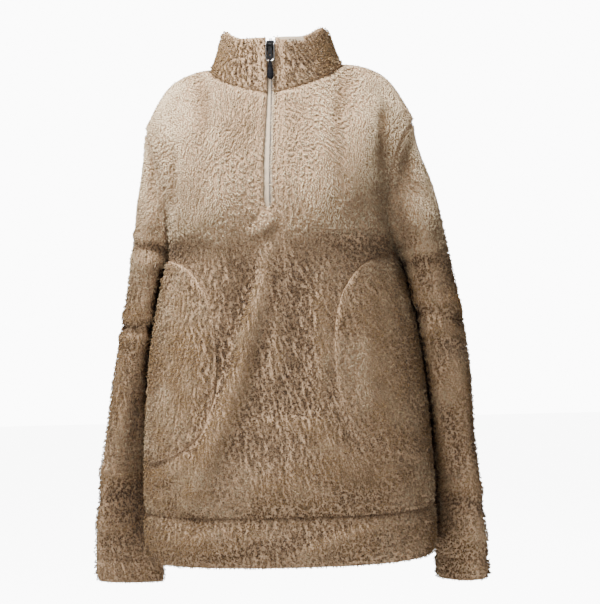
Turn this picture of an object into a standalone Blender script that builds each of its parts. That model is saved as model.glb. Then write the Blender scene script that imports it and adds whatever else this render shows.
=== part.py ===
"""A half-zip pullover in curly pile fleece, filled out as worn, with no wearer.

Metres, +Z up. The front faces -Y and the wearer's left is +X. The origin is midway between the two
neck points, where the shoulders carry the garment. Every cloth piece is a wall cut from one shared
surface, so that neighbours meet at their seams with a small gap.
"""

import math

import bmesh
import bpy
import numpy as np
from mathutils import Matrix, Vector

SEAM_GAP = 0.0003
PILE_WALL = 0.006
COLLAR_WALL = 0.0075
BAND_WALL = 0.007
TAPE_WALL = 0.001
ROLLED_SHARE = 0.55

ARMPIT_Z = -0.255
HEM_SEAM_Z = -0.610
HEM_Z = -0.680
SLIT_END_Z = -0.198

# The slit shows more of the tape on the wearer's right of the zip line, and opens round the slider.
SLIT_COLUMNS = ("z", "right_x", "left_x")
SLIT_ROWS = (
    (-0.200, -0.0085, 0.0035),
    (-0.120, -0.0078, 0.0035),
    (-0.042, -0.0062, 0.0040),
    (-0.010, -0.0064, 0.0052),
    (0.010, -0.0066, 0.0066),
    (0.037, -0.0068, 0.0068),
)
SLIT_END_MARGIN = 0.004
TAPE_X = 0.018
TAPE_TAIL = 0.020
TAPE_OFF = SEAM_GAP * 1.5

NECK_HALF_WIDTH = 0.098
NECK_FRONT = 0.090
NECK_BACK = 0.072
NECK_POINT_Z = 0.006
NECK_FRONT_Z = -0.042
NECK_BACK_Z = 0.014
NECK_CURVE = 0.67

NECK_ANGLE = 38.3
FRONT_NECK_COLUMNS = 6
BACK_NECK_COLUMNS = 5
SHOULDER_COLUMNS = 7
ARMHOLE_ROWS = 12
CAP_ROWS = 7
COLLAR_ROWS = 7

# Horizontal sections of the body below the armpit.
BODY_COLUMNS = ("z", "half_width", "front", "back", "squareness")
BODY_ROWS = (
    (-0.255, 0.157, 0.150, 0.120, 2.20),
    (-0.285, 0.168, 0.147, 0.119, 2.20),
    (-0.320, 0.1765, 0.145, 0.118, 2.25),
    (-0.380, 0.187, 0.145, 0.120, 2.30),
    (-0.440, 0.194, 0.149, 0.127, 2.35),
    (-0.510, 0.199, 0.154, 0.136, 2.40),
    (-0.570, 0.202, 0.154, 0.143, 2.45),
    (-0.610, 0.2035, 0.151, 0.146, 2.45),
    (-0.655, 0.2035, 0.150, 0.146, 2.45),
    (-0.680, 0.199, 0.146, 0.142, 2.45),
)

# Centre line above the armpit, from w = 0 at the armpit level to w = 1 at the neckline.
CENTRE_COLUMNS = ("w", "front", "front_z", "back", "back_z")
CENTRE_ROWS = (
    (0.00, 0.150, -0.255, 0.120, -0.255),
    (0.20, 0.154, -0.212, 0.1205, -0.200),
    (0.40, 0.149, -0.168, 0.119, -0.146),
    (0.60, 0.133, -0.124, 0.114, -0.092),
    (0.80, 0.110, -0.082, 0.100, -0.038),
    (1.00, 0.090, -0.042, 0.072, 0.014),
)

# The shoulder seam, from the neck point to the top of the armhole.
SHOULDER_COLUMN_NAMES = ("s", "x", "y", "z")
SHOULDER_ROWS = (
    (0.00, 0.098, 0.000, 0.006),
    (0.20, 0.120, 0.001, 0.002),
    (0.38, 0.140, 0.002, -0.006),
    (0.55, 0.156, 0.003, -0.017),
    (0.70, 0.168, 0.003, -0.033),
    (0.85, 0.179, 0.004, -0.052),
    (1.00, 0.190, 0.004, -0.073),
)

# The armhole, from w = 0 at the armpit to w = 1 at the shoulder seam.
ARMHOLE_COLUMNS = ("w", "front_x", "front_y", "front_z", "back_x", "back_y", "back_z")
ARMHOLE_ROWS_TABLE = (
    (0.00, 0.157, 0.000, -0.255, 0.157, 0.000, -0.255),
    (0.16, 0.153, -0.036, -0.243, 0.152, 0.038, -0.240),
    (0.34, 0.151, -0.064, -0.210, 0.149, 0.069, -0.200),
    (0.50, 0.154, -0.076, -0.174, 0.150, 0.080, -0.160),
    (0.66, 0.160, -0.071, -0.140, 0.158, 0.076, -0.125),
    (0.80, 0.169, -0.053, -0.112, 0.169, 0.058, -0.099),
    (0.91, 0.181, -0.028, -0.089, 0.181, 0.030, -0.083),
    (1.00, 0.190, 0.004, -0.073, 0.190, 0.004, -0.073),
)

# Sections of a hanging sleeve: outermost x, centre y, half sizes, and the turn of its flat side.
SLEEVE_COLUMNS = ("z", "outer_x", "centre_y", "half_thick", "half_deep", "turn")
SLEEVE_LEFT_ROWS = (
    (-0.070, 0.190, 0.002, 0.020, 0.040, 0),
    (-0.100, 0.2055, 0.003, 0.027, 0.060, 0),
    (-0.145, 0.216, 0.005, 0.032, 0.071, 0),
    (-0.190, 0.219, 0.008, 0.034, 0.073, 0),
    (-0.235, 0.227, 0.012, 0.037, 0.072, 2),
    (-0.280, 0.235, 0.017, 0.040, 0.070, 4),
    (-0.326, 0.244, 0.023, 0.041, 0.067, 6),
    (-0.371, 0.2515, 0.029, 0.042, 0.065, 8),
    (-0.416, 0.2565, 0.034, 0.042, 0.064, 11),
    (-0.461, 0.259, 0.038, 0.040, 0.061, 15),
    (-0.506, 0.2605, 0.043, 0.039, 0.059, 20),
    (-0.551, 0.263, 0.047, 0.036, 0.058, 25),
    (-0.596, 0.267, 0.050, 0.032, 0.057, 30),
    (-0.641, 0.2705, 0.052, 0.029, 0.057, 33),
    (-0.682, 0.2730, 0.052, 0.026, 0.056, 34),
    (-0.705, 0.2735, 0.052, 0.027, 0.054, 34),
    (-0.724, 0.2690, 0.052, 0.024, 0.050, 34),
)
SLEEVE_RIGHT_ROWS = (
    (-0.070, 0.190, 0.002, 0.020, 0.040, 0),
    (-0.100, 0.1965, 0.003, 0.026, 0.060, 0),
    (-0.145, 0.2025, 0.005, 0.030, 0.071, 0),
    (-0.190, 0.204, 0.008, 0.032, 0.073, 0),
    (-0.235, 0.208, 0.012, 0.033, 0.073, 2),
    (-0.280, 0.217, 0.017, 0.035, 0.071, 4),
    (-0.326, 0.2245, 0.024, 0.036, 0.068, 7),
    (-0.371, 0.2335, 0.031, 0.036, 0.066, 12),
    (-0.416, 0.241, 0.038, 0.034, 0.065, 17),
    (-0.461, 0.2505, 0.044, 0.032, 0.063, 23),
    (-0.506, 0.2585, 0.049, 0.029, 0.062, 29),
    (-0.551, 0.2665, 0.052, 0.026, 0.061, 35),
    (-0.596, 0.275, 0.054, 0.022, 0.060, 40),
    (-0.641, 0.2805, 0.055, 0.019, 0.060, 44),
    (-0.680, 0.283, 0.054, 0.017, 0.060, 46),
    (-0.700, 0.283, 0.053, 0.018, 0.060, 46),
    (-0.716, 0.280, 0.052, 0.016, 0.058, 46),
)
# How much lower each cuff hangs at its inner back than at its outer front.
CUFF_DROP = {"left": 0.003, "right": 0.010}
CUFF_DROP_ANGLE = 280.0
CUFF_DROP_FROM_Z = -0.560
SLEEVE_SQUARENESS = 2.15
SLEEVE_CLEARANCE = 0.0045
CLEARANCE_RUN = 0.030
CAP_END_Z = -0.278
LEFT_CUFF_SEAM_Z = -0.690
RIGHT_CUFF_SEAM_Z = -0.681
SLEEVE_ROWS = 16
UPPER_SLEEVE_ROWS = 5
CUFF_ROWS = 3

# The collar's top edge by angle, 0 at the front and 180 at the back.
COLLAR_COLUMNS = ("angle", "out", "z")
COLLAR_ANGLE_STRETCH = 1.11
COLLAR_TOP_ROWS = (
    (0, 0.081, 0.037),
    (22, 0.0805, 0.0385),
    (38, 0.080, 0.040),
    (52, 0.0795, 0.054),
    (66, 0.0785, 0.057),
    (90, 0.077, 0.055),
    (130, 0.073, 0.052),
    (180, 0.069, 0.049),
)

# Soft folds as ridges (height over 0) and troughs (under 0) along bowed lines in the front view.
FOLD_COLUMNS = ("x0", "z0", "x1", "z1", "bow", "half_width", "height")
FOLD_END_SHARE = 0.35
SEAM_GROOVE = 0.003
SEAM_GROOVE_HALF_WIDTH = 0.007
FRONT_FOLDS = (
    (-0.085, -0.175, -0.055, -0.200, 0.000, 0.046, 0.007),
    (0.085, -0.175, 0.055, -0.200, 0.000, 0.046, 0.007),
    (-0.012, -0.265, -0.125, -0.590, -0.012, 0.019, 0.011),
    (-0.046, -0.255, -0.096, -0.515, -0.008, 0.016, -0.009),
    (0.012, -0.290, 0.006, -0.440, 0.004, 0.017, 0.004),
    (0.030, -0.270, 0.040, -0.500, 0.006, 0.018, -0.004),
    (0.075, -0.280, 0.060, -0.560, 0.008, 0.022, 0.004),
    (-0.090, -0.560, 0.130, -0.545, 0.012, 0.026, 0.006),
    (-0.150, -0.530, -0.090, -0.600, 0.004, 0.014, 0.005),
    (-0.165, -0.560, -0.120, -0.612, 0.000, 0.011, -0.004),
    (0.020, -0.668, 0.140, -0.630, 0.002, 0.012, 0.004),
    (-0.150, -0.645, -0.030, -0.652, 0.004, 0.016, 0.003),
    (-0.128, -0.105, -0.140, -0.190, 0.004, 0.014, -0.004),
    (0.128, -0.105, 0.142, -0.190, -0.004, 0.014, -0.004),
    (0.120, -0.330, 0.135, -0.480, 0.010, 0.024, 0.003),
    (-0.120, -0.330, -0.140, -0.470, -0.010, 0.024, 0.003),
)
BACK_FOLDS = (
    (-0.075, -0.110, -0.060, -0.210, 0.006, 0.040, 0.006),
    (0.078, -0.115, 0.066, -0.215, -0.006, 0.040, 0.006),
    (0.015, -0.250, 0.070, -0.590, 0.014, 0.020, 0.007),
    (-0.030, -0.270, -0.050, -0.560, -0.010, 0.019, 0.006),
    (0.052, -0.265, 0.110, -0.520, 0.008, 0.016, -0.006),
    (-0.075, -0.290, -0.100, -0.540, -0.006, 0.017, -0.005),
    (-0.010, -0.300, 0.012, -0.500, 0.006, 0.014, -0.004),
    (-0.120, -0.560, 0.100, -0.540, 0.014, 0.026, 0.005),
    (0.090, -0.590, 0.150, -0.560, 0.004, 0.012, 0.004),
    (-0.060, -0.655, 0.090, -0.648, 0.004, 0.014, 0.003),
    (-0.060, -0.045, 0.060, -0.045, 0.010, 0.013, -0.003),
)

# Folds of a sleeve: angle round it (0 faces the body, 90 the front, 180 outwards) and height.
SLEEVE_FOLD_COLUMNS = ("angle0", "z0", "angle1", "z1", "half_width", "height")
SLEEVE_MEAN_RADIUS = 0.052
SLEEVE_LEFT_FOLDS = (
    (95, -0.150, 110, -0.290, 0.014, 0.004),
    (60, -0.200, 85, -0.330, 0.012, -0.004),
    (140, -0.250, 60, -0.285, 0.010, -0.003),
    (150, -0.330, 60, -0.375, 0.013, 0.005),
    (165, -0.375, 70, -0.405, 0.011, -0.005),
    (130, -0.430, 60, -0.470, 0.013, 0.004),
    (110, -0.400, 95, -0.600, 0.013, 0.004),
    (140, -0.420, 135, -0.620, 0.012, -0.003),
    (170, -0.560, 70, -0.600, 0.011, 0.004),
    (60, -0.640, 170, -0.655, 0.010, 0.004),
    (250, -0.300, 200, -0.360, 0.014, 0.005),
    (280, -0.380, 210, -0.400, 0.012, -0.004),
    (265, -0.430, 250, -0.620, 0.015, 0.005),
    (230, -0.240, 240, -0.330, 0.013, -0.004),
    (110, -0.705, 165, -0.712, 0.008, 0.005),
    (60, -0.708, 90, -0.700, 0.008, 0.005),
    (200, -0.700, 240, -0.712, 0.009, 0.004),
)
SLEEVE_RIGHT_FOLDS = (
    (100, -0.090, 105, -0.235, 0.012, 0.005),
    (75, -0.110, 80, -0.230, 0.011, -0.004),
    (120, -0.238, 55, -0.246, 0.008, -0.005),
    (130, -0.262, 60, -0.268, 0.009, 0.004),
    (165, -0.366, 70, -0.360, 0.008, -0.006),
    (170, -0.345, 75, -0.340, 0.011, 0.004),
    (150, -0.370, 125, -0.480, 0.010, 0.005),
    (125, -0.480, 110, -0.580, 0.010, 0.004),
    (100, -0.380, 80, -0.560, 0.012, -0.004),
    (170, -0.560, 110, -0.620, 0.012, 0.003),
    (240, -0.280, 205, -0.350, 0.014, 0.004),
    (275, -0.365, 205, -0.372, 0.010, -0.005),
    (260, -0.400, 245, -0.600, 0.015, 0.005),
)

# Pocket outline in the front view, from the top of its open side edge round to the foot of it.
POCKET_COLUMNS = ("x", "z")
POCKET_ROWS = (
    (0.156, -0.264),
    (0.147, -0.266),
    (0.128, -0.273),
    (0.110, -0.288),
    (0.095, -0.310),
    (0.086, -0.335),
    (0.081, -0.370),
    (0.081, -0.412),
    (0.087, -0.456),
    (0.101, -0.490),
    (0.121, -0.512),
    (0.144, -0.526),
    (0.166, -0.534),
    (0.188, -0.539),
)
POCKET_CENTRE = (0.150, -0.395)
POCKET_LIFT = 0.0004
POCKET_WALL = 0.0026
POCKET_BLANK_Z = (-0.575, -0.235)
POCKET_BLANK_COLUMNS = 11

# Slider and pulls, measured down the collar from the hinge pin and out from the tape.
PIN_Z = 0.0212
PIN_OUT = 0.0125
PIN_RADIUS = 0.0007
PIN_HALF_LENGTH = 0.0066
PIN_HEAD_RADIUS = 0.0011
PIN_HEAD_THICK = 0.0004
RUNNING_GAP = 0.0003
SLIDER_HALF_WIDTH = 0.0053
SLIDER_TOP = 0.0070
SLIDER_FOOT = 0.0055
SLIDER_THICK = 0.0072
SLIDER_GAP = 0.0006
SLIDER_BEVEL = 0.0011
LUG_INNER = 0.0024
LUG_OUTER = 0.0036
LUG_HALF_HEIGHT = 0.0022
LUG_ROOT = 0.004
LUG_TOP = 0.0017
LUG_BEVEL = 0.0004
TAB_LENGTH = 0.0203
TAB_THICK = 0.0016
TAB_FLARE = 0.0043
TAB_FOOT_RADIUS = 0.0040
TAB_EYE_WALL = 0.0013
TAB_HOLE_RADIUS = 0.0013
TAB_HOLE_SHAPE = (0.8, 1.5, 1.0)
TAB_HOLE_UP = 0.0060
# The tab's side from the pin down, as half width and distance below the pin.
TAB_ROWS = (
    (0.0020, 0.0010),
    (0.0023, 0.0050),
    (0.0026, 0.0090),
    (0.0033, 0.0130),
    (0.0043, 0.0158),
)
LOOP_HALF_WIDTH = 0.0055
LOOP_LENGTH = 0.0222
LOOP_BEND_RADIUS = 0.0034
LOOP_EYE_DOWN = 0.0012
LOOP_EYE_WALL = 0.0010
LOOP_EYE_HALF_LENGTH = 0.00055
WIRE_RADIUS = 0.0007
WIRE_SIDES = 8
GRIP_COLUMNS = ("down", "half_width", "half_thick")
GRIP_ROWS = (
    (0.0202, 0.0010, 0.0010),
    (0.0208, 0.0016, 0.0018),
    (0.0222, 0.0017, 0.0021),
    (0.0240, 0.0021, 0.0020),
    (0.0270, 0.0028, 0.0018),
    (0.0320, 0.0030, 0.0018),
    (0.0350, 0.0037, 0.0022),
    (0.0395, 0.0045, 0.0026),
    (0.0440, 0.0043, 0.0025),
    (0.0468, 0.0029, 0.0018),
    (0.0478, 0.0012, 0.0009),
)
ROUND_SIDES = 16

FLEECE = ("fleece", (0.56, 0.41, 0.27), 0.95, 0.0)
FLEECE_BAND = ("fleece_band", (0.53, 0.385, 0.25), 0.95, 0.0)
FLEECE_COLLAR = ("fleece_collar", (0.57, 0.42, 0.28), 0.95, 0.0)
TAPE = ("zip_tape", (0.50, 0.38, 0.27), 0.8, 0.0)
BLACK_METAL = ("black_enamel", (0.012, 0.012, 0.014), 0.35, 0.6)
STEEL = ("steel_wire", (0.62, 0.62, 0.63), 0.28, 1.0)
RUBBER = ("black_rubber", (0.014, 0.014, 0.018), 0.6, 0.0)


def clear_scene():
    for old in list(bpy.data.objects):
        bpy.data.objects.remove(old, do_unlink=True)


def make_material(finish):
    name, colour, roughness, metallic = finish
    material = bpy.data.materials.get(name) or bpy.data.materials.new(name)
    material.use_nodes = True
    shader = material.node_tree.nodes["Principled BSDF"]
    shader.inputs["Base Color"].default_value = (*colour, 1.0)
    shader.inputs["Roughness"].default_value = roughness
    shader.inputs["Metallic"].default_value = metallic
    return material


def smooth_step(value):
    t = np.clip(value, 0.0, 1.0)
    return t * t * (3.0 - 2.0 * t)


def read(rows, columns, name, at):
    """Column `name` of a table at key `at`, on a smooth curve through its rows."""
    table = np.array(rows, float)
    keys = table[:, 0]
    values = table[:, columns.index(name)]
    if keys[0] > keys[-1]:
        keys, values = keys[::-1], values[::-1]
    slopes = np.gradient(values, keys)
    at = float(np.clip(at, keys[0], keys[-1]))
    i = int(np.clip(np.searchsorted(keys, at) - 1, 0, len(keys) - 2))
    step = keys[i + 1] - keys[i]
    t = (at - keys[i]) / step
    return float(
        (2 * t**3 - 3 * t**2 + 1) * values[i]
        + (t**3 - 2 * t**2 + t) * step * slopes[i]
        + (3 * t**2 - 2 * t**3) * values[i + 1]
        + (t**3 - t**2) * step * slopes[i + 1]
    )


def body_size(z, name):
    return read(BODY_ROWS, BODY_COLUMNS, name, z)


def column_angles(neck_columns):
    """Angles of the columns of a half panel, 0 at its centre and 90 at the side seam."""
    neck = [NECK_ANGLE * k / neck_columns for k in range(neck_columns + 1)]
    rest = 90.0 - NECK_ANGLE
    return neck + [NECK_ANGLE + rest * k / SHOULDER_COLUMNS for k in range(1, SHOULDER_COLUMNS + 1)]


def section_point(z, across, front):
    """A point of the body's section at z, where across runs from 0 at the centre to 1 at the side."""
    power = body_size(z, "squareness")
    depth = body_size(z, "front" if front else "back")
    along = depth * max(0.0, 1.0 - across**power) ** (1.0 / power)
    return np.array((across * body_size(z, "half_width"), -along if front else along, z))


def neckline_point(angle, front):
    turn = math.radians(angle)
    lift = (1.0 - math.cos(turn)) ** NECK_CURVE
    start = NECK_FRONT_Z if front else NECK_BACK_Z
    depth = -NECK_FRONT if front else NECK_BACK
    return np.array(
        (
            NECK_HALF_WIDTH * math.sin(turn),
            depth * math.cos(turn),
            start + (NECK_POINT_Z - start) * lift,
        )
    )


def top_point(angle, front):
    """The neckline, and past the neck point the shoulder seam."""
    if angle <= NECK_ANGLE:
        across = math.sin(math.radians(angle)) / math.sin(math.radians(NECK_ANGLE))
        return neckline_point(math.degrees(math.asin(min(1.0, across))), front)
    s = (angle - NECK_ANGLE) / (90.0 - NECK_ANGLE)
    return np.array([read(SHOULDER_ROWS, SHOULDER_COLUMN_NAMES, axis, s) for axis in "xyz"])


def centre_point(w, front):
    side = "front" if front else "back"
    depth = read(CENTRE_ROWS, CENTRE_COLUMNS, side, w)
    height = read(CENTRE_ROWS, CENTRE_COLUMNS, side + "_z", w)
    return np.array((0.0, -depth if front else depth, height))


def armhole_point(w, front):
    side = "front_" if front else "back_"
    return np.array([read(ARMHOLE_ROWS_TABLE, ARMHOLE_COLUMNS, side + a, w) for a in "xyz"])


def chest_point(angle, w, front):
    """A patch between the armpit level, the top edge, the centre line and the armhole.

    Depth stays full for most of the height and turns in only near the top, as cloth does over a
    shoulder.
    """
    across = math.sin(math.radians(angle))
    up = np.array((w, w**2.1, w))
    low = section_point(ARMPIT_Z, across, front)
    high = top_point(angle, front)
    centre, side = centre_point(w, front), armhole_point(w, front)
    centre_low, side_low = centre_point(0.0, front), armhole_point(0.0, front)
    centre_high, side_high = centre_point(1.0, front), armhole_point(1.0, front)
    along = across**2.0
    return (
        (1.0 - up) * low
        + up * high
        + (1.0 - along) * (centre - (1.0 - up) * centre_low - up * centre_high)
        + along * (side - (1.0 - up) * side_low - up * side_high)
    )


def panel_rows():
    """Heights of the rows below the armpit, closest at the hem seam, from the hem up."""
    band = [HEM_Z, HEM_Z + 0.010, -0.650, HEM_SEAM_Z - 0.009, HEM_SEAM_Z]
    body = [HEM_SEAM_Z + 0.009, -0.585]
    count = 11
    body += [-0.585 + (ARMPIT_Z + 0.585) * k / count for k in range(1, count + 1)]
    return band, body


BAND_HEIGHTS, BODY_HEIGHTS = panel_rows()
SEAM_ROW = len(BAND_HEIGHTS) - 1
ARMPIT_ROW = SEAM_ROW + len(BODY_HEIGHTS)
TOP_ROW = ARMPIT_ROW + ARMHOLE_ROWS


def half_panel_column(angle, front):
    across = math.sin(math.radians(angle))
    low = [section_point(z, across, front) for z in BAND_HEIGHTS + BODY_HEIGHTS]
    high = [chest_point(angle, k / ARMHOLE_ROWS, front) for k in range(1, ARMHOLE_ROWS + 1)]
    return np.array(low + high)


def panel_surface(front):
    """Points of the front or back, hem included, as rows by columns from -X to +X."""
    angles = column_angles(FRONT_NECK_COLUMNS if front else BACK_NECK_COLUMNS)
    halves = [half_panel_column(a, front) for a in angles]
    mirror = np.array((-1.0, 1.0, 1.0))
    if front:
        right, left = halves[0].copy(), halves[0].copy()
        for row, z in enumerate(halves[0][:, 2]):
            right[row, 0] = read(SLIT_ROWS, SLIT_COLUMNS, "right_x", z)
            left[row, 0] = read(SLIT_ROWS, SLIT_COLUMNS, "left_x", z)
        columns = [h * mirror for h in halves[:0:-1]] + [right, left] + halves[1:]
    else:
        columns = [h * mirror for h in halves[:0:-1]] + halves
    return np.stack(columns, axis=1)


def ridge(x, z, x0, z0, x1, z1, bow, half_width, height):
    """Height of one fold at x, z: a soft bump along a bowed line, lower towards its two ends."""
    run = np.array((x1 - x0, z1 - z0))
    length = float(np.hypot(*run))
    t = ((x - x0) * run[0] + (z - z0) * run[1]) / length**2
    off = ((x - x0) * run[1] - (z - z0) * run[0]) / length
    inside = np.clip(t, 0.0, 1.0)
    off = off - bow * 4.0 * inside * (1.0 - inside)
    past = (t - inside) * length
    ends = smooth_step(np.minimum(inside, 1.0 - inside) * 4.0)
    ends = FOLD_END_SHARE + (1.0 - FOLD_END_SHARE) * ends
    return height * ends * np.exp(-(off**2 + past**2) / half_width**2)


def fold_height(points, folds):
    x, z = points[..., 0], points[..., 2]
    total = np.zeros(x.shape)
    for fold in folds:
        total += ridge(x, z, **dict(zip(FOLD_COLUMNS, fold)))
    return total


def seam_groove(z):
    """The dip along the hem seam."""
    return -SEAM_GROOVE * np.exp(-(((z - HEM_SEAM_Z) / SEAM_GROOVE_HALF_WIDTH) ** 2))


def seam_fade(rows, columns):
    """1 inside a panel, 0 on its top edge and on its side edges."""
    across = np.minimum(np.arange(columns), np.arange(columns)[::-1])
    down = np.arange(rows)[::-1]
    return np.outer(smooth_step(down / 2.0), smooth_step(across / 2.5))


def body_clearance(point, z, clearance):
    """Moves a point of a sleeve straight out until it clears the body's side."""
    z = max(min(z, ARMPIT_Z), HEM_Z)
    power = body_size(z, "squareness")
    width = body_size(z, "half_width") + clearance
    depth = (body_size(z, "front") if point[1] < 0 else body_size(z, "back")) + clearance
    level = (abs(point[0]) / width) ** power + (abs(point[1]) / depth) ** power
    if level >= 1.0:
        return point
    scale = level ** (-1.0 / power)
    return np.array((point[0] * scale, point[1] * scale, point[2]))


def sleeve_section(rows, z, angle):
    """A point of the hanging sleeve on the +X side, in the order body, front, outside, back."""
    size = {name: read(rows, SLEEVE_COLUMNS, name, z) for name in SLEEVE_COLUMNS[1:]}
    turn = math.radians(size["turn"])
    reach = math.hypot(
        size["half_thick"] * math.cos(turn), size["half_deep"] * math.sin(turn)
    )
    around = math.radians(angle)
    power = 2.0 / SLEEVE_SQUARENESS
    across = -math.copysign(abs(math.cos(around)) ** power, math.cos(around)) * size["half_thick"]
    along = -math.copysign(abs(math.sin(around)) ** power, math.sin(around)) * size["half_deep"]
    return np.array(
        (
            size["outer_x"] - reach + across * math.cos(turn) - along * math.sin(turn),
            size["centre_y"] + across * math.sin(turn) + along * math.cos(turn),
            z,
        )
    )


def sleeve_base(rows, armhole, cuff_seam, cuff_end):
    """Rings of the sleeve on the +X side, from the armhole down over the cap to the cuff's end."""
    count = len(armhole)
    angles = [360.0 * k / count for k in range(count)]
    rings = [np.array(armhole)]
    for j in range(1, CAP_ROWS + 1):
        s = j / CAP_ROWS
        weight = smooth_step(s / 0.6)
        ring = []
        for start, angle in zip(armhole, angles):
            z = start[2] + (CAP_END_Z - start[2]) * s
            tube = sleeve_section(rows, z, angle)
            point = start * (1.0 - weight) + tube * weight
            point[2] = z
            ring.append(point)
        rings.append(np.array(ring))
    step = (cuff_seam - CAP_END_Z) / SLEEVE_ROWS
    heights = [CAP_END_Z + step * k for k in range(1, SLEEVE_ROWS + 1)]
    heights += [cuff_seam + (cuff_end - cuff_seam) * k / CUFF_ROWS for k in range(1, CUFF_ROWS + 1)]
    for z in heights:
        rings.append(np.array([sleeve_section(rows, z, angle) for angle in angles]))
    return np.array(rings)


def drop_cuff(rings, drop):
    """Lets the lower end of a sleeve hang lower at its inner back."""
    count = rings.shape[1]
    around = np.cos(np.radians(360.0 * np.arange(count) / count - CUFF_DROP_ANGLE))
    for ring in rings:
        level = (CUFF_DROP_FROM_Z - ring[0, 2]) / (CUFF_DROP_FROM_Z - HEM_Z)
        ring[:, 2] -= drop * float(np.clip(level, 0.0, 1.3)) * (1.0 + around) / 2.0
    return rings


def sleeve_fold(points, folds):
    """Fold heights over the rings, with distance round the sleeve taken on its mean radius."""
    count = points.shape[1]
    around = np.tile(360.0 * np.arange(count) / count, (points.shape[0], 1))
    flat = np.radians(around) * SLEEVE_MEAN_RADIUS
    total = np.zeros(around.shape)
    for fold in folds:
        row = dict(zip(SLEEVE_FOLD_COLUMNS, fold))
        total += ridge(
            flat,
            points[..., 2],
            x0=math.radians(row["angle0"]) * SLEEVE_MEAN_RADIUS,
            z0=row["z0"],
            x1=math.radians(row["angle1"]) * SLEEVE_MEAN_RADIUS,
            z1=row["z1"],
            bow=0.0,
            half_width=row["half_width"],
            height=row["height"],
        )
    total *= smooth_step(np.arange(points.shape[0]) / 3.0)[:, None]
    return total


def sheet_faces(rows, columns, closed):
    for r in range(rows - 1):
        for c in range(columns if closed else columns - 1):
            d = (c + 1) % columns
            yield (r, c), (r, d), (r + 1, d), (r + 1, c)


def shared_normals(sheets):
    """Outward normals of sheets of points, averaged where two sheets meet at a seam."""
    sums = {}
    key = {}
    for name, (points, closed, flip) in sheets.items():
        rows, columns = points.shape[:2]
        names = [tuple(p) for p in np.round(points.reshape(-1, 3), 6).tolist()]
        key[name] = names
        for corners in sheet_faces(rows, columns, closed):
            a, b, c, d = (points[i] for i in corners)
            normal = np.cross(c - a, d - b) * (-1.0 if flip else 1.0)
            for r, k in corners:
                spot = names[r * columns + k]
                sums[spot] = sums.get(spot, 0.0) + normal
    found = {}
    for name, (points, closed, flip) in sheets.items():
        flat = np.array([sums[spot] for spot in key[name]])
        flat /= np.maximum(np.linalg.norm(flat, axis=1), 1e-12)[:, None]
        found[name] = flat.reshape(points.shape)
    return found


def garment_surface():
    """All cloth as shared sheets: front, back, both sleeves and the collar, with their folds."""
    front, back = panel_surface(True), panel_surface(False)
    base = {"front": (front, False, False), "back": (back, False, True)}
    normals = shared_normals(base)
    front_fold = fold_height(front, FRONT_FOLDS) * seam_fade(*front.shape[:2])
    front_fold += seam_groove(front[..., 2])
    front = front + normals["front"] * front_fold[..., None]
    back_fold = fold_height(back, BACK_FOLDS) * seam_fade(*back.shape[:2])
    back_fold += seam_groove(back[..., 2])
    back = back + normals["back"] * back_fold[..., None]
    sheets = {"front": (front, False, False), "back": (back, False, True)}
    sides = (
        ("left", -1, SLEEVE_LEFT_ROWS, SLEEVE_LEFT_FOLDS, LEFT_CUFF_SEAM_Z),
        ("right", 0, SLEEVE_RIGHT_ROWS, SLEEVE_RIGHT_FOLDS, RIGHT_CUFF_SEAM_Z),
    )
    for side, column, rows, folds, cuff_seam in sides:
        mirror = np.array((1.0 if side == "left" else -1.0, 1.0, 1.0))
        up = front[ARMPIT_ROW:TOP_ROW + 1, column]
        down = back[ARMPIT_ROW + 1:TOP_ROW, column][::-1]
        armhole = np.concatenate([up, down]) * mirror
        rings = sleeve_base(rows, armhole, cuff_seam, rows[-1][0])
        plain = shared_normals({"sleeve": (rings, True, True)})["sleeve"]
        rings = rings + plain * sleeve_fold(rings, folds)[..., None]
        rings = drop_cuff(rings, CUFF_DROP[side])
        for ring in rings[1:]:
            for k, point in enumerate(ring):
                lower = smooth_step((ARMPIT_Z - point[2]) / CLEARANCE_RUN)
                clearance = SEAM_GAP + (SLEEVE_CLEARANCE - SEAM_GAP) * float(lower)
                if point[2] < ARMPIT_Z:
                    ring[k] = body_clearance(point, point[2], clearance)
        sheets["sleeve_" + side] = (rings * mirror, True, side == "left")
    sheets["collar"] = (collar_surface(front, back), False, False)
    return sheets


def collar_surface(front, back):
    """Rows of the collar from the neckline up, from the slit round the back to the slit."""
    neck_front = len(column_angles(FRONT_NECK_COLUMNS)) - 1 - SHOULDER_COLUMNS
    neck_back = len(column_angles(BACK_NECK_COLUMNS)) - 1 - SHOULDER_COLUMNS
    middle = front.shape[1] // 2
    left = front[TOP_ROW, middle:middle + neck_front + 1]
    right = front[TOP_ROW, middle - 1 - neck_front:middle]
    centre = back.shape[1] // 2
    round_back = back[TOP_ROW, centre - neck_back:centre + neck_back + 1][::-1]
    base = np.concatenate([left, round_back[1:-1], right])
    rows = []
    for k in range(COLLAR_ROWS + 1):
        t = k / COLLAR_ROWS
        row = []
        for point in base:
            angle = math.degrees(math.atan2(abs(point[0]), -point[1] * COLLAR_ANGLE_STRETCH))
            out = read(COLLAR_TOP_ROWS, COLLAR_COLUMNS, "out", angle)
            reach = math.hypot(point[0], point[1])
            top = np.array((point[0] * out / reach, point[1] * out / reach, 0.0))
            top[2] = read(COLLAR_TOP_ROWS, COLLAR_COLUMNS, "z", angle)
            lean = np.array((t**0.8, t**0.8, t))
            spot = point * (1.0 - lean) + top * lean
            if abs(point[0]) < TAPE_X / 2:
                edge = "left_x" if point[0] > 0 else "right_x"
                spot[0] = read(SLIT_ROWS, SLIT_COLUMNS, edge, spot[2])
            row.append(spot)
        rows.append(row)
    return np.array(rows)


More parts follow.
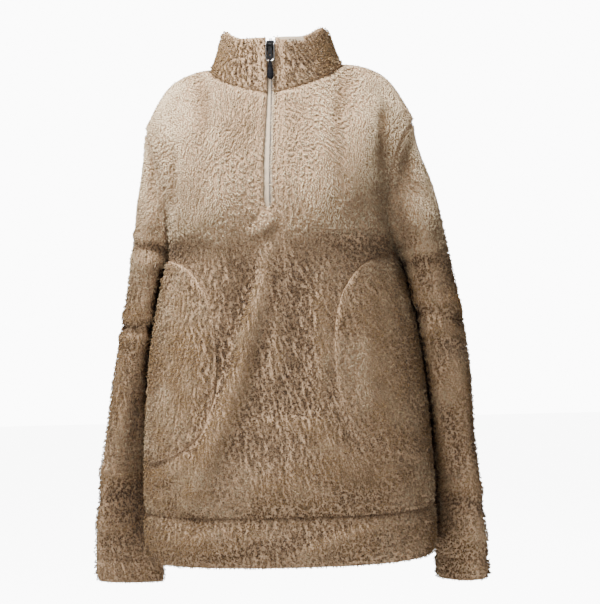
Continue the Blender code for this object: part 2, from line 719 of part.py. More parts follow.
def pull_back(points, inner, edges):
    """Draws the named edges of a piece back by half the seam gap."""
    points, inner = points.copy(), inner.copy()
    ends = {
        "foot": (np.s_[0], np.s_[1]),
        "top": (np.s_[-1], np.s_[-2]),
        "first": (np.s_[:, 0], np.s_[:, 1]),
        "last": (np.s_[:, -1], np.s_[:, -2]),
    }
    for edge in edges:
        rim, beside = ends[edge]
        for grid in (points, inner):
            away = grid[beside] - grid[rim]
            away /= np.maximum(np.linalg.norm(away, axis=-1, keepdims=True), 1e-9)
            grid[rim] = grid[rim] + away * SEAM_GAP / 2.0
    return points, inner


def wall(name, outer, inner, finish, closed=False, missing=None):
    """One closed body between two matching sheets of points, without the missing cells."""
    rows, columns = outer.shape[:2]
    missing = missing or set()
    cells = [f for f in sheet_faces(rows, columns, closed) if f[0] not in missing]
    edges = {}
    for corners in cells:
        for i in range(4):
            a, b = corners[i], corners[(i + 1) % 4]
            edges.setdefault(frozenset((a, b)), []).append((a, b))
    mesh = bmesh.new()
    used = sorted({corner for corners in cells for corner in corners})
    out = {spot: mesh.verts.new(outer[spot]) for spot in used}
    ins = {spot: mesh.verts.new(inner[spot]) for spot in used}
    for a, b, c, d in cells:
        for three in ((a, b, c), (a, c, d)):
            mesh.faces.new([out[spot] for spot in three])
            mesh.faces.new([ins[spot] for spot in reversed(three)])
    for found in edges.values():
        if len(found) == 1:
            add_rim(mesh, out, ins, *found[0])
    face_outwards(mesh)
    return finish_mesh(name, mesh, finish)


def add_rim(mesh, out, ins, a, b):
    """Two triangles of a wall's edge, split on the shorter diagonal so that neighbours agree."""
    if (out[a].co - ins[b].co).length < (out[b].co - ins[a].co).length:
        mesh.faces.new((out[b], out[a], ins[b]))
        mesh.faces.new((out[a], ins[a], ins[b]))
    else:
        mesh.faces.new((out[b], out[a], ins[a]))
        mesh.faces.new((out[b], ins[a], ins[b]))


def face_outwards(mesh):
    bmesh.ops.recalc_face_normals(mesh, faces=mesh.faces[:])
    if mesh.calc_volume(signed=True) < 0.0:
        bmesh.ops.reverse_faces(mesh, faces=mesh.faces[:])


def finish_mesh(name, mesh, finish, sharp=60.0):
    data = bpy.data.meshes.new(name)
    mesh.to_mesh(data)
    mesh.free()
    data.materials.append(make_material(finish))
    data.shade_smooth()
    data.set_sharp_from_angle(angle=math.radians(sharp))
    piece = bpy.data.objects.new(name, data)
    bpy.context.collection.objects.link(piece)
    return piece


def inward(points, normals, thickness):
    return points - normals * thickness


def build_panels(sheets, normals):
    """Front and back with their hem bands."""
    for side in ("front", "back"):
        points, normal = sheets[side][0], normals[side]
        missing = set()
        if side == "front":
            middle = points.shape[1] // 2 - 1
            slit = [r for r in range(TOP_ROW) if points[r, middle, 2] > SLIT_END_Z - SLIT_END_MARGIN]
            missing = {(r - SEAM_ROW, middle) for r in slit}
        inner = inward(points, normal, PILE_WALL)
        panel = pull_back(
            points[SEAM_ROW:], inner[SEAM_ROW:], ("foot", "top", "first", "last")
        )
        wall(side, *panel, FLEECE, missing=missing)
        inner = inward(points, normal, BAND_WALL)
        band = pull_back(points[:SEAM_ROW + 1], inner[:SEAM_ROW + 1], ("top", "first", "last"))
        band = roll_edge(*band, 0)
        wall("hem_" + side, *band, FLEECE_BAND)


def roll_edge(outer, inner, row):
    """Narrows a wall at its free edge, as a turned edge rounds over."""
    middle = (outer[row] + inner[row]) / 2.0
    outer[row] = middle + (outer[row] - middle) * ROLLED_SHARE
    inner[row] = middle + (inner[row] - middle) * ROLLED_SHARE
    return outer, inner


def build_sleeves(sheets, normals):
    """Each sleeve in an upper and a lower stretch, and its cuff."""
    elbow_row = CAP_ROWS + UPPER_SLEEVE_ROWS
    cuff_row = CAP_ROWS + SLEEVE_ROWS
    stretches = (("upper", 0, elbow_row), ("lower", elbow_row, cuff_row))
    for side in ("left", "right"):
        name = "sleeve_" + side
        points, normal = sheets[name][0], normals[name]
        inner = inward(points, normal, PILE_WALL)
        for stretch, first, last in stretches:
            rows = slice(first, last + 1)
            tube = pull_back(points[rows], inner[rows], ("foot", "top"))
            wall(name + "_" + stretch, *tube, FLEECE, closed=True)
        cuff = pull_back(points[cuff_row:], inner[cuff_row:], ("foot",))
        cuff = roll_edge(*cuff, -1)
        wall("cuff_" + side, *cuff, FLEECE_BAND, closed=True)


def build_collar(sheets, normals):
    points, normal = sheets["collar"][0], normals["collar"]
    inner = inward(points, normal, COLLAR_WALL)
    inner = np.where(np.arange(len(points))[:, None, None] == 0, points - normal * PILE_WALL, inner)
    collar = pull_back(points, inner, ("foot",))
    collar = roll_edge(*collar, -1)
    wall("collar", *collar, FLEECE_COLLAR)


def build_pockets(sheets, normals):
    """Curved pocket panels that lie on the front, cut from the front's own points moved out."""
    points, normal = sheets["front"][0], normals["front"]
    low_z, high_z = POCKET_BLANK_Z
    rows = [r for r in range(len(points)) if low_z < points[r, 0, 2] < high_z]
    first, last = rows[0], rows[-1] + 1
    blanks = (("right", slice(0, POCKET_BLANK_COLUMNS)), ("left", slice(-POCKET_BLANK_COLUMNS, None)))
    for side, columns in blanks:
        skin = points[first:last, columns]
        out = normal[first:last, columns]
        low, high = skin + out * POCKET_LIFT, skin + out * (POCKET_LIFT + POCKET_WALL)
        panel = wall("pocket_" + side, high, low, FLEECE_BAND)
        mesh = bmesh.new()
        mesh.from_mesh(panel.data)
        trim_to_outline(mesh, -1.0 if side == "right" else 1.0)
        mesh.to_mesh(panel.data)
        mesh.free()


def trim_to_outline(mesh, sign):
    """Cuts a closed shell along each edge of the pocket's outline, straight back along Y."""
    outline = smooth_outline(POCKET_ROWS, POCKET_COLUMNS, 2)
    for (x0, z0), (x1, z1) in zip(outline, outline[1:] + outline[:1]):
        across = Vector((z1 - z0, 0.0, x0 - x1)).normalized()
        to_centre = Vector((POCKET_CENTRE[0] - x0, 0.0, POCKET_CENTRE[1] - z0))
        if across.dot(to_centre) > 0.0:
            across.negate()
        across.x *= sign
        bmesh.ops.bisect_plane(
            mesh,
            geom=mesh.verts[:] + mesh.edges[:] + mesh.faces[:],
            plane_co=(sign * x0, 0.0, z0),
            plane_no=across,
            clear_outer=True,
            dist=1e-7,
        )
        rim = [edge for edge in mesh.edges if edge.is_boundary]
        bmesh.ops.holes_fill(mesh, edges=rim, sides=0)
    bmesh.ops.triangulate(mesh, faces=mesh.faces[:], ngon_method="EAR_CLIP")
    face_outwards(mesh)


def smooth_outline(rows, columns, between):
    """Points along a smooth curve through an outline's rows."""
    numbered = tuple((key, *row) for key, row in enumerate(rows))
    steps = np.linspace(0, len(rows) - 1, (len(rows) - 1) * between + 1)
    return [tuple(read(numbered, ("key", *columns), name, t) for name in columns) for t in steps]


def tape_line(sheets, normals):
    """Centre of the zip from its lower end to the top of the collar, with the outward normals."""
    front, collar = sheets["front"][0], sheets["collar"][0]
    middle = front.shape[1] // 2 - 1
    rows = [r for r in range(TOP_ROW) if front[r, middle, 2] > SLIT_END_Z - TAPE_TAIL]
    lines = []
    for grid, normal, picked, a, b in (
        (front, normals["front"], rows, middle, middle + 1),
        (collar, normals["collar"], range(COLLAR_ROWS), -1, 0),
    ):
        for r in picked:
            share = grid[r, a, 0] / (grid[r, a, 0] - grid[r, b, 0])
            spot = grid[r, a] * (1 - share) + grid[r, b] * share
            out = normal[r, a] * (1 - share) + normal[r, b] * share
            lines.append((spot, out / np.linalg.norm(out)))
    return lines


def tape_sheet(sheets, normals, side):
    """Rows of three points across one tape, on the inner face of the front and the collar."""
    front, collar = sheets["front"][0], sheets["collar"][0]
    middle = front.shape[1] // 2 - 1
    rows = [r for r in range(TOP_ROW) if front[r, middle, 2] > SLIT_END_Z - TAPE_TAIL]
    columns = (middle - 1, middle) if side == "right" else (middle + 1, middle + 2)
    order = (-2, -1) if side == "right" else (0, 1)
    edge = -SEAM_GAP / 2 if side == "right" else SEAM_GAP / 2
    sheet = []
    for (spot, out), source in zip(
        tape_line(sheets, normals),
        [("front", r) for r in rows] + [("collar", r) for r in range(COLLAR_ROWS)],
    ):
        name, r = source
        picked = columns if name == "front" else order
        grid, normal = sheets[name][0], normals[name]
        wall_here = PILE_WALL if name == "front" or r == 0 else COLLAR_WALL
        depth = wall_here + TAPE_OFF
        line = spot + np.array((edge, 0.0, 0.0)) - out * depth
        laid = [grid[r, c] - normal[r, c] * depth for c in picked]
        sheet.append(laid + [line] if side == "right" else [line] + laid)
    return np.array(sheet)


def build_tapes(sheets, normals):
    for side in ("right", "left"):
        outer = tape_sheet(sheets, normals, side)
        inner = outer + np.array((0.0, TAPE_WALL, 0.0))
        wall("zip_tape_" + side, outer, inner, TAPE)


def pin_frame(sheets, normals):
    """The middle of the hinge pin, with the directions down the zip and out of the collar."""
    faces = []
    for spot, out in tape_line(sheets, normals)[-COLLAR_ROWS + 1:]:
        face = spot - out * (COLLAR_WALL + TAPE_OFF)
        faces.append((face[2], face[1]))
    high, low = faces[-1], faces[len(faces) // 3]
    down = Vector((0.0, low[1] - high[1], low[0] - high[0])).normalized()
    out = Vector((0.0, down.z, -down.y))
    share = (PIN_Z - low[0]) / (high[0] - low[0])
    face = Vector((0.0, low[1] + (high[1] - low[1]) * share, PIN_Z))
    return face + out * PIN_OUT, down, out


def framed(pin, down, out):
    """Matrix from (across, down, out) to the world."""
    matrix = Matrix.Identity(4)
    for i, axis in enumerate((Vector((1.0, 0.0, 0.0)), down, out)):
        for j in range(3):
            matrix[j][i] = axis[j]
        matrix[i][3] = pin[i]
    return matrix


def block(low, high, bevel=0.0):
    mesh = bmesh.new()
    bmesh.ops.create_cube(mesh, size=1.0)
    size = [b - a for a, b in zip(low, high)]
    middle = [(a + b) / 2 for a, b in zip(low, high)]
    bmesh.ops.scale(mesh, verts=mesh.verts[:], vec=size)
    bmesh.ops.translate(mesh, verts=mesh.verts[:], vec=middle)
    if bevel:
        bmesh.ops.bevel(
            mesh, geom=mesh.edges[:], offset=bevel, segments=2, profile=0.5, affect="EDGES"
        )
    return mesh


def bar(radius, start, end, sides=ROUND_SIDES):
    """A round bar across the pulls, from x = start to x = end."""
    mesh = bmesh.new()
    bmesh.ops.create_cone(
        mesh, cap_ends=True, segments=sides, radius1=radius, radius2=radius, depth=end - start
    )
    turn = Matrix.Rotation(math.radians(90.0), 4, "Y")
    bmesh.ops.transform(mesh, matrix=turn, verts=mesh.verts[:])
    bmesh.ops.translate(mesh, verts=mesh.verts[:], vec=((start + end) / 2, 0.0, 0.0))
    return mesh


def plate(outline, thickness):
    """An outline of (across, down) points as a plate centred on the pin."""
    mesh = bmesh.new()
    face = mesh.faces.new([mesh.verts.new((x, d, -thickness / 2)) for x, d in outline])
    moved = bmesh.ops.extrude_face_region(mesh, geom=[face])
    tops = [v for v in moved["geom"] if isinstance(v, bmesh.types.BMVert)]
    bmesh.ops.translate(mesh, verts=tops, vec=(0.0, 0.0, thickness))
    face_outwards(mesh)
    return mesh


def combine(name, first, others, finish, matrix):
    """A piece from one shape with others fused to it or cut from it."""
    piece = finish_mesh(name, first, finish, 40.0)
    for index, (operation, shape) in enumerate(others):
        tool = finish_mesh(f"{name}_tool_{index}", shape, finish, 40.0)
        tool.hide_render = True
        tool.display_type = "WIRE"
        step = piece.modifiers.new(tool.name, "BOOLEAN")
        step.operation = operation
        step.solver = "EXACT"
        step.object = tool
        tool.matrix_world = matrix
    piece.matrix_world = matrix
    return piece


def build_slider(matrix):
    """The slider's body on the tapes, two lugs, and the pin through them with a head at each end."""
    tape = -PIN_OUT
    body = block(
        (-SLIDER_HALF_WIDTH, -SLIDER_TOP, tape + SLIDER_GAP),
        (SLIDER_HALF_WIDTH, SLIDER_FOOT, tape + SLIDER_GAP + SLIDER_THICK),
        SLIDER_BEVEL,
    )
    shapes = []
    for a, b in ((-LUG_OUTER, -LUG_INNER), (LUG_INNER, LUG_OUTER)):
        low, high = (a, -LUG_HALF_HEIGHT, tape + LUG_ROOT), (b, LUG_HALF_HEIGHT, LUG_TOP)
        shapes.append(("UNION", block(low, high, LUG_BEVEL)))
    shapes.append(("UNION", bar(PIN_RADIUS, -PIN_HALF_LENGTH, PIN_HALF_LENGTH)))
    inner_face = PIN_HALF_LENGTH - PIN_HEAD_THICK
    for start, end in ((-PIN_HALF_LENGTH, -inner_face), (inner_face, PIN_HALF_LENGTH)):
        shapes.append(("UNION", bar(PIN_HEAD_RADIUS, start, end)))
    combine("slider", body, shapes, BLACK_METAL, matrix)


def tab_outline():
    """Narrow at the pin, waisted, and flared to a round foot."""
    side = [tuple(row) for row in TAB_ROWS]
    middle = TAB_LENGTH - TAB_FOOT_RADIUS
    for degrees in (15, 40, 65):
        turn = math.radians(degrees)
        side.append((TAB_FLARE * math.cos(turn), middle + TAB_FOOT_RADIUS * math.sin(turn)))
    return side + [(-x, down) for x, down in reversed(side)]


def build_tab(matrix):
    eye = bar(PIN_RADIUS + TAB_EYE_WALL, -LUG_INNER + RUNNING_GAP, LUG_INNER - RUNNING_GAP)
    hole = bmesh.new()
    bmesh.ops.create_cone(
        hole,
        cap_ends=True,
        segments=12,
        radius1=TAB_HOLE_RADIUS,
        radius2=TAB_HOLE_RADIUS,
        depth=TAB_THICK * 4,
    )
    bmesh.ops.scale(hole, verts=hole.verts[:], vec=TAB_HOLE_SHAPE)
    bmesh.ops.translate(hole, verts=hole.verts[:], vec=(0.0, TAB_LENGTH - TAB_HOLE_UP, 0.0))
    shapes = [
        ("UNION", eye),
        ("DIFFERENCE", bar(PIN_RADIUS + RUNNING_GAP, -LUG_OUTER, LUG_OUTER)),
        ("DIFFERENCE", hole),
    ]
    combine("pull_tab", plate(tab_outline(), TAB_THICK), shapes, BLACK_METAL, matrix)


def wire_path():
    """Middle line of the bent wire, from one eye down and across to the other."""
    reach, foot, bend = LOOP_HALF_WIDTH, LOOP_LENGTH, LOOP_BEND_RADIUS
    path = [(-reach, LOOP_EYE_DOWN), (-reach, foot / 2.0), (-reach, foot - bend)]
    for degrees in (22.5, 45.0, 67.5):
        turn = math.radians(degrees)
        path.append((-reach + bend - bend * math.cos(turn), foot - bend + bend * math.sin(turn)))
    path.append((-reach + bend, foot))
    return path + [(-x, down) for x, down in reversed(path)]


def wire_loop_mesh():
    """A round section swept along the wire's middle line."""
    spots = np.array([(x, down, 0.0) for x, down in wire_path()])
    mesh = bmesh.new()
    rings = []
    for i, spot in enumerate(spots):
        ahead = spots[min(i + 1, len(spots) - 1)] - spots[max(i - 1, 0)]
        ahead /= np.linalg.norm(ahead)
        side = np.cross(ahead, (0.0, 0.0, 1.0))
        ring = []
        for k in range(WIRE_SIDES):
            turn = 2 * math.pi * k / WIRE_SIDES
            at = spot + WIRE_RADIUS * (side * math.cos(turn) + np.array((0, 0, math.sin(turn))))
            ring.append(mesh.verts.new(at))
        rings.append(ring)
    close_rings(mesh, rings)
    return mesh


def close_rings(mesh, rings):
    """Faces between neighbouring rings and over both ends."""
    sides = len(rings[0])
    for a, b in zip(rings, rings[1:]):
        for k in range(sides):
            n = (k + 1) % sides
            mesh.faces.new((a[k], a[n], b[n], b[k]))
    mesh.faces.new(rings[0])
    mesh.faces.new(rings[-1])
    face_outwards(mesh)


def build_loop(matrix):
    shapes = []
    for middle in (-LOOP_HALF_WIDTH, LOOP_HALF_WIDTH):
        start, end = middle - LOOP_EYE_HALF_LENGTH, middle + LOOP_EYE_HALF_LENGTH
        shapes.append(("UNION", bar(PIN_RADIUS + LOOP_EYE_WALL, start, end)))
    for middle in (-LOOP_HALF_WIDTH, LOOP_HALF_WIDTH):
        start, end = middle - LOOP_EYE_HALF_LENGTH * 2, middle + LOOP_EYE_HALF_LENGTH * 2
        shapes.append(("DIFFERENCE", bar(PIN_RADIUS + RUNNING_GAP, start, end)))
    combine("pull_loop", wire_loop_mesh(), shapes, STEEL, matrix)


def build_grip(matrix):
    mesh = bmesh.new()
    rings = []
    for row in GRIP_ROWS:
        size = dict(zip(GRIP_COLUMNS, row))
        ring = []
        for k in range(ROUND_SIDES):
            turn = 2 * math.pi * k / ROUND_SIDES
            across, out = size["half_width"] * math.cos(turn), size["half_thick"] * math.sin(turn)
            ring.append(mesh.verts.new((across, size["down"], out)))
        rings.append(ring)
    close_rings(mesh, rings)
    hole = bar(WIRE_RADIUS + RUNNING_GAP, -LUG_OUTER, LUG_OUTER)
    bmesh.ops.translate(hole, verts=hole.verts[:], vec=(0.0, LOOP_LENGTH, 0.0))
    combine("pull_grip", mesh, [("DIFFERENCE", hole)], RUBBER, matrix)


def main():
    clear_scene()
    sheets = garment_surface()
    normals = shared_normals(sheets)
    build_panels(sheets, normals)
    build_sleeves(sheets, normals)
    build_collar(sheets, normals)
    build_pockets(sheets, normals)
    build_tapes(sheets, normals)
    pin, down, out = pin_frame(sheets, normals)
    matrix = framed(pin, down, out)
    build_slider(matrix)
    build_tab(matrix)
    build_loop(matrix)
    build_grip(matrix)


main()
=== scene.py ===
"""Looks of a half-zip pullover in curly pile fleece, filled out as worn.

Each cloth piece is a thin knit shell on its solid's form, and the pile stands on it as small curls.
Metres, +Z up, the front faces -Y and the garment's own left is +X.
"""

import logging
import math
from collections.abc import Sequence
from dataclasses import dataclass, field
from enum import Enum

import bmesh
import bpy
import numpy as np
from mathutils import Matrix, Vector, kdtree, noise
from mathutils.bvhtree import BVHTree

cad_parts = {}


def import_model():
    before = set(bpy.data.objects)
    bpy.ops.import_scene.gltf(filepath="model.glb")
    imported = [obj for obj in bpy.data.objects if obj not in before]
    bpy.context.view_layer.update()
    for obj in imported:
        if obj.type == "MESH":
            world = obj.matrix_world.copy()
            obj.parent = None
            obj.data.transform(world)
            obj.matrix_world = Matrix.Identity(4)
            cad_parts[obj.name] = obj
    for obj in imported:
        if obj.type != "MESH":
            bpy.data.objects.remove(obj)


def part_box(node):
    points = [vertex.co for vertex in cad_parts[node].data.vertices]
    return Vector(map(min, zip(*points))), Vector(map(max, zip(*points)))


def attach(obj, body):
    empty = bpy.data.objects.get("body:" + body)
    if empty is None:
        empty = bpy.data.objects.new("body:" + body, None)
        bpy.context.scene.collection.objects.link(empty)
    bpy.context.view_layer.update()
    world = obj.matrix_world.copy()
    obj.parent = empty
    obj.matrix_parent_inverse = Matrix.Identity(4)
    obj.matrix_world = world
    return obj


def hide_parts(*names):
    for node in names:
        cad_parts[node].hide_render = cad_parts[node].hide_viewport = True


log = logging.getLogger("pullover")

BODY = "garment"

# Taking a sheet from its solid: joining distances, and the turns that tell an outer face
WELD = 0.00001
STRETCH_JOIN = 0.0005
OUTER_TURN = 0.30
START_TURN = 0.90
SHARP_TURN = 0.95
UP_TURN = 0.45

# The lines inside the garment that its faces turn away from
GIRDLE_Z = -0.12
GIRDLE_HALF = 0.12
TUBE_RADIUS = 0.052

# The knit shell: its depth under the solid's outer side, its wall, and its rise between the seams
SHELL_DEPTH = 0.0032
SHELL_THICK = 0.0016
GROUND_RISE = 0.0005

# Creases: how much of their height their ends keep, and over what share of their length they fade
CREASE_END = 0.25
CREASE_FADE = 0.25

# Folds: how far a sheet is smoothed to find them, a full fold's height, and their fade at seams
FOLD_PASSES = 40
FOLD_FULL = 0.0018
FOLD_FADE = 0.030

# Seams: how far apart their edges may lie, how wide they fade, and how wide the pile parts there
SEAM_REACH = 0.0070
SEAM_FADE = 0.012
SEAM_PART = 0.0045

# Pockets on the front: how near and how wide the front's pile gives way, and how short it gets
POCKET_LOOK = 0.02
POCKET_NEAR = 0.0035
POCKET_PART = 0.0050
POCKET_COVER = 0.15

# The pile that laps over the zip, and the strip of facing at the top of the collar
LAP_REACH = 0.0085
LAP_FOOT_Z = -0.200
BARE_DEPTH = 0.0065

# Curls: their spacing, their feet, how fine the sheet under them is, and how short and thin they get
CURL_SPACING = 0.0021
CURL_TRIES = 4.0
CURL_ROOT = 0.0007
ROOT_LEVELS = 2
CURL_SIDES = 3
LEAST_COVER = 0.05
SHORT_LOCK = 0.30
THIN_LOCK = 0.75

# The noise that swirls the pile and parts it into tufts, in waves to a metre
SWIRL_SEED = 11
SWIRL_NOISE = 26.0
STRAY_NOISE = 120.0
TUFT_NOISE = 215.0
TUFT_STEP = 0.0003

# The smooth pile of the chest and shoulders, made pale by painted light from above: its heights, its ragged
# edge, and how it ruffles below
CHEST_TOP_Z = -0.055
CHEST_FOOT_Z = -0.33
CHEST_STRAY = 0.075
CHEST_NOISE = 7.0
CALM_RUFFLE = 0.22
PATCH_RUFFLE = 0.4
PATCH_NOISE = 9.0
RIDGE_CALM = 0.7


class Edge(Enum):
    """The free edge that the pile turns over, if any."""

    NONE = 0
    TOP = 1
    FOOT = -1


class Build(Enum):
    """What a panel is wrapped round."""

    TRUNK = "trunk"
    TUBE = "tube"
    NECK = "neck"


@dataclass(frozen=True)
class Crease:
    """A soft ridge, or a trough where its height is under 0, along a bowed line on a panel.

    The line runs from (u0, v0) to (u1, v1), and its middle stands off the straight way by the bow.
    On the trunk and the collar u is x and on a sleeve it is the distance round it from its inner
    side, and v is the height z. All are in metres.
    """

    u0: float
    v0: float
    u1: float
    v1: float
    bow: float
    half_width: float
    height: float

    def at(self, u: np.ndarray, v: np.ndarray) -> np.ndarray:
        """Height of the crease at each point.

        Args:
            u: Places across the panel.
            v: Heights.

        Returns:
            Distance to move each point outwards.
        """
        run_u, run_v = self.u1 - self.u0, self.v1 - self.v0
        length = math.hypot(run_u, run_v)
        t = ((u - self.u0) * run_u + (v - self.v0) * run_v) / length**2
        off = ((u - self.u0) * run_v - (v - self.v0) * run_u) / length
        inside = np.clip(t, 0.0, 1.0)
        off = off - self.bow * 4.0 * inside * (1.0 - inside)
        past = (t - inside) * length
        ends = smooth(np.minimum(inside, 1.0 - inside) / CREASE_FADE)
        spread = np.exp(-(off**2 + past**2) / self.half_width**2)
        return self.height * lifted(ends, CREASE_END) * spread


def smooth(value: np.ndarray) -> np.ndarray:
    """Smooth step from 0 to 1."""
    t = np.clip(value, 0.0, 1.0)
    return t * t * (3.0 - 2.0 * t)


def lifted(value: np.ndarray, least: float) -> np.ndarray:
    """A value from 0 to 1, raised so that it runs from the least to 1."""
    return least + (1.0 - least) * value


def noise_at(points: np.ndarray, scale: float, shift: Sequence[float] = (0.0, 0.0, 0.0)) -> np.ndarray:
    """Smooth noise at each point.

    Args:
        points: Rows of x, y, z.
        scale: About how many waves there are to a metre.
        shift: A way to move all the points first.

    Returns:
        A value for each point, from about -1 to 1.
    """
    step = Vector(shift)
    return np.array([noise.noise((Vector(p) + step) * scale) for p in points])


def swirl_at(points: np.ndarray, scale: float) -> np.ndarray:
    """A way for each point that turns smoothly from place to place, as rows of x, y, z."""
    return np.array([noise.noise_vector(Vector(p) * scale) for p in points])


def read_points(mesh: bpy.types.Mesh) -> np.ndarray:
    """The mesh's points as rows of x, y, z.

    Args:
        mesh: The mesh.

    Returns:
        The rows.
    """
    flat = np.empty(len(mesh.vertices) * 3, np.float32)
    mesh.vertices.foreach_get("co", flat)
    return flat.reshape(-1, 3).astype(float)


def read_normals(mesh: bpy.types.Mesh) -> np.ndarray:
    """The mesh's point normals as rows of x, y, z.

    Args:
        mesh: The mesh.

    Returns:
        The rows.
    """
    flat = np.empty(len(mesh.vertices) * 3, np.float32)
    mesh.vertex_normals.foreach_get("vector", flat)
    return flat.reshape(-1, 3).astype(float)


def write_points(mesh: bpy.types.Mesh, points: np.ndarray) -> None:
    """Puts the mesh's points where the rows say."""
    mesh.vertices.foreach_set("co", points.astype(np.float32).ravel())
    mesh.update()


def read_values(mesh: bpy.types.Mesh, name: str) -> np.ndarray:
    """A number that the mesh keeps at each point.

    Args:
        mesh: The mesh.
        name: The number's name.

    Returns:
        A value for each point.
    """
    values = np.empty(len(mesh.vertices), np.float32)
    mesh.attributes[name].data.foreach_get("value", values)
    return values.astype(float)


def write_values(mesh: bpy.types.Mesh, name: str, values: np.ndarray) -> None:
    """Keeps a number at each point of the mesh."""
    layer = mesh.attributes.new(name, "FLOAT", "POINT")
    layer.data.foreach_set("value", values.astype(np.float32))


def unit(rows: np.ndarray) -> np.ndarray:
    """Rows scaled to length 1."""
    return rows / np.maximum(np.linalg.norm(rows, axis=1, keepdims=True), 1e-9)


def new_object(name: str, data: bpy.types.ID) -> bpy.types.Object:
    """A new object of the scene that shows a mesh, a curve, a camera or a light.

    Args:
        name: The object's name.
        data: What it shows.

    Returns:
        The object.
    """
    obj = bpy.data.objects.new(name, data)
    bpy.context.scene.collection.objects.link(obj)
    return obj


def welded(nodes: Sequence[str]) -> bmesh.types.BMesh:
    """The solids of these nodes in one mesh, with their doubled points joined.

    Args:
        nodes: The nodes' names.

    Returns:
        The mesh, in edit form.
    """
    mesh = bmesh.new()
    for node in nodes:
        mesh.from_mesh(bpy.data.objects[node].data)
    bmesh.ops.remove_doubles(mesh, verts=mesh.verts[:], dist=WELD)
    return mesh


def object_of(mesh: bmesh.types.BMesh, name: str) -> bpy.types.Object:
    """A new object of an edited mesh, which is freed.

    Args:
        mesh: The mesh, in edit form.
        name: The name of the object and its mesh.

    Returns:
        The object.
    """
    data = bpy.data.meshes.new(name)
    mesh.to_mesh(data)
    mesh.free()
    return new_object(name, data)


def make_active(obj: bpy.types.Object) -> None:
    """Selects this object alone and makes it the active one.

    Args:
        obj: The object.
    """
    bpy.ops.object.select_all(action="DESELECT")
    obj.select_set(True)
    bpy.context.view_layer.objects.active = obj


def apply_modifiers(obj: bpy.types.Object) -> None:
    """Applies all modifiers of an object in their order.

    Args:
        obj: The object.
    """
    make_active(obj)
    for name in [modifier.name for modifier in obj.modifiers]:
        bpy.ops.object.modifier_apply(modifier=name)


def drop_object(obj: bpy.types.Object) -> None:
    """Removes a helper object and its mesh.

    Args:
        obj: The object.
    """
    mesh = obj.data
    bpy.data.objects.remove(obj, do_unlink=True)
    bpy.data.meshes.remove(mesh)


def subdivide(obj: bpy.types.Object, levels: int, simple: bool = False) -> None:
    """Subdivides an object's mesh, smoothly or in its own planes.

    Args:
        obj: The object.
        levels: How many times.
        simple: Whether the points stay in the planes of their faces.
    """
    modifier = obj.modifiers.new("finer", "SUBSURF")
    modifier.subdivision_type = "SIMPLE" if simple else "CATMULL_CLARK"
    modifier.levels = levels
    modifier.render_levels = levels
    modifier.boundary_smooth = "PRESERVE_CORNERS"
    apply_modifiers(obj)


def set_sockets(node: bpy.types.Node, values: dict[str | int, object]) -> None:
    """Sets the values of a node's own sockets, by name or by number."""
    for key, value in values.items():
        node.inputs[key].default_value = value


class Shader:
    """A small helper that adds nodes to a material or a group and joins them."""

    def __init__(self, tree: bpy.types.NodeTree) -> None:
        """Keeps the tree."""
        self.tree = tree

    def add(
        self, kind: str, sockets: dict[str | int, object] | None = None, **values: object
    ) -> bpy.types.Node:
        """Adds a node.

        Args:
            kind: The node's type.
            sockets: The values of its own sockets.
            values: Its properties, which are set first.

        Returns:
            The node.
        """
        node = self.tree.nodes.new(kind)
        for key, value in values.items():
            setattr(node, key, value)
        set_sockets(node, sockets or {})
        return node

    def join(self, source: bpy.types.NodeSocket, target: bpy.types.NodeSocket) -> None:
        """Joins two sockets."""
        self.tree.links.new(source, target)

    def place(self) -> bpy.types.NodeSocket:
        """The piece's own coordinates."""
        return self.add("ShaderNodeTexCoord").outputs["Object"]

    def ramp(
        self, value: bpy.types.NodeSocket, stops: list[tuple[float, tuple[float, float, float]]]
    ) -> bpy.types.NodeSocket:
        """Colours a value by a ramp.

        Args:
            value: The value.
            stops: Pairs of place and colour.

        Returns:
            The colour.
        """
        node = self.add("ShaderNodeValToRGB")
        band = node.color_ramp
        while len(band.elements) < len(stops):
            band.elements.new(0.5)
        for element, (place, colour) in zip(band.elements, stops):
            element.position = place
            element.color = (*colour, 1.0)
        self.join(value, node.inputs["Fac"])
        return node.outputs["Color"]

    def multiply(
        self, one: bpy.types.NodeSocket, other: bpy.types.NodeSocket
    ) -> bpy.types.NodeSocket:
        """Multiplies two colours.

        Args:
            one: A colour.
            other: The other colour.

        Returns:
            Their product.
        """
        node = self.add("ShaderNodeMix", data_type="RGBA", blend_type="MULTIPLY")
        node.inputs["Factor"].default_value = 1.0
        self.join(one, node.inputs[6])
        self.join(other, node.inputs[7])
        return node.outputs[2]

    def remap(
        self,
        value: bpy.types.NodeSocket,
        start: tuple[float, float] = (0.0, 1.0),
        end: tuple[float, float] = (0.0, 1.0),
    ) -> bpy.types.NodeSocket:
        """Maps a value from one range to another and clips it there.

        Args:
            value: The value.
            start: The range that it comes in.
            end: The range that it goes to.

        Returns:
            The mapped value.
        """
        limits = {"From Min": start[0], "From Max": start[1], "To Min": end[0], "To Max": end[1]}
        node = self.add("ShaderNodeMapRange", limits)
        self.join(value, node.inputs["Value"])
        return node.outputs["Result"]

    def bump(
        self,
        height: bpy.types.NodeSocket,
        strength: float,
        distance: float,
        surface: bpy.types.Node,
    ) -> None:
        """Bumps a surface.

        Args:
            height: The height, from 0 to 1.
            strength: How strong the bump is.
            distance: How high it stands, in metres.
            surface: The Principled shader.
        """
        node = self.add("ShaderNodeBump", {"Strength": strength, "Distance": distance})
        self.join(height, node.inputs["Height"])
        self.join(node.outputs["Normal"], surface.inputs["Normal"])


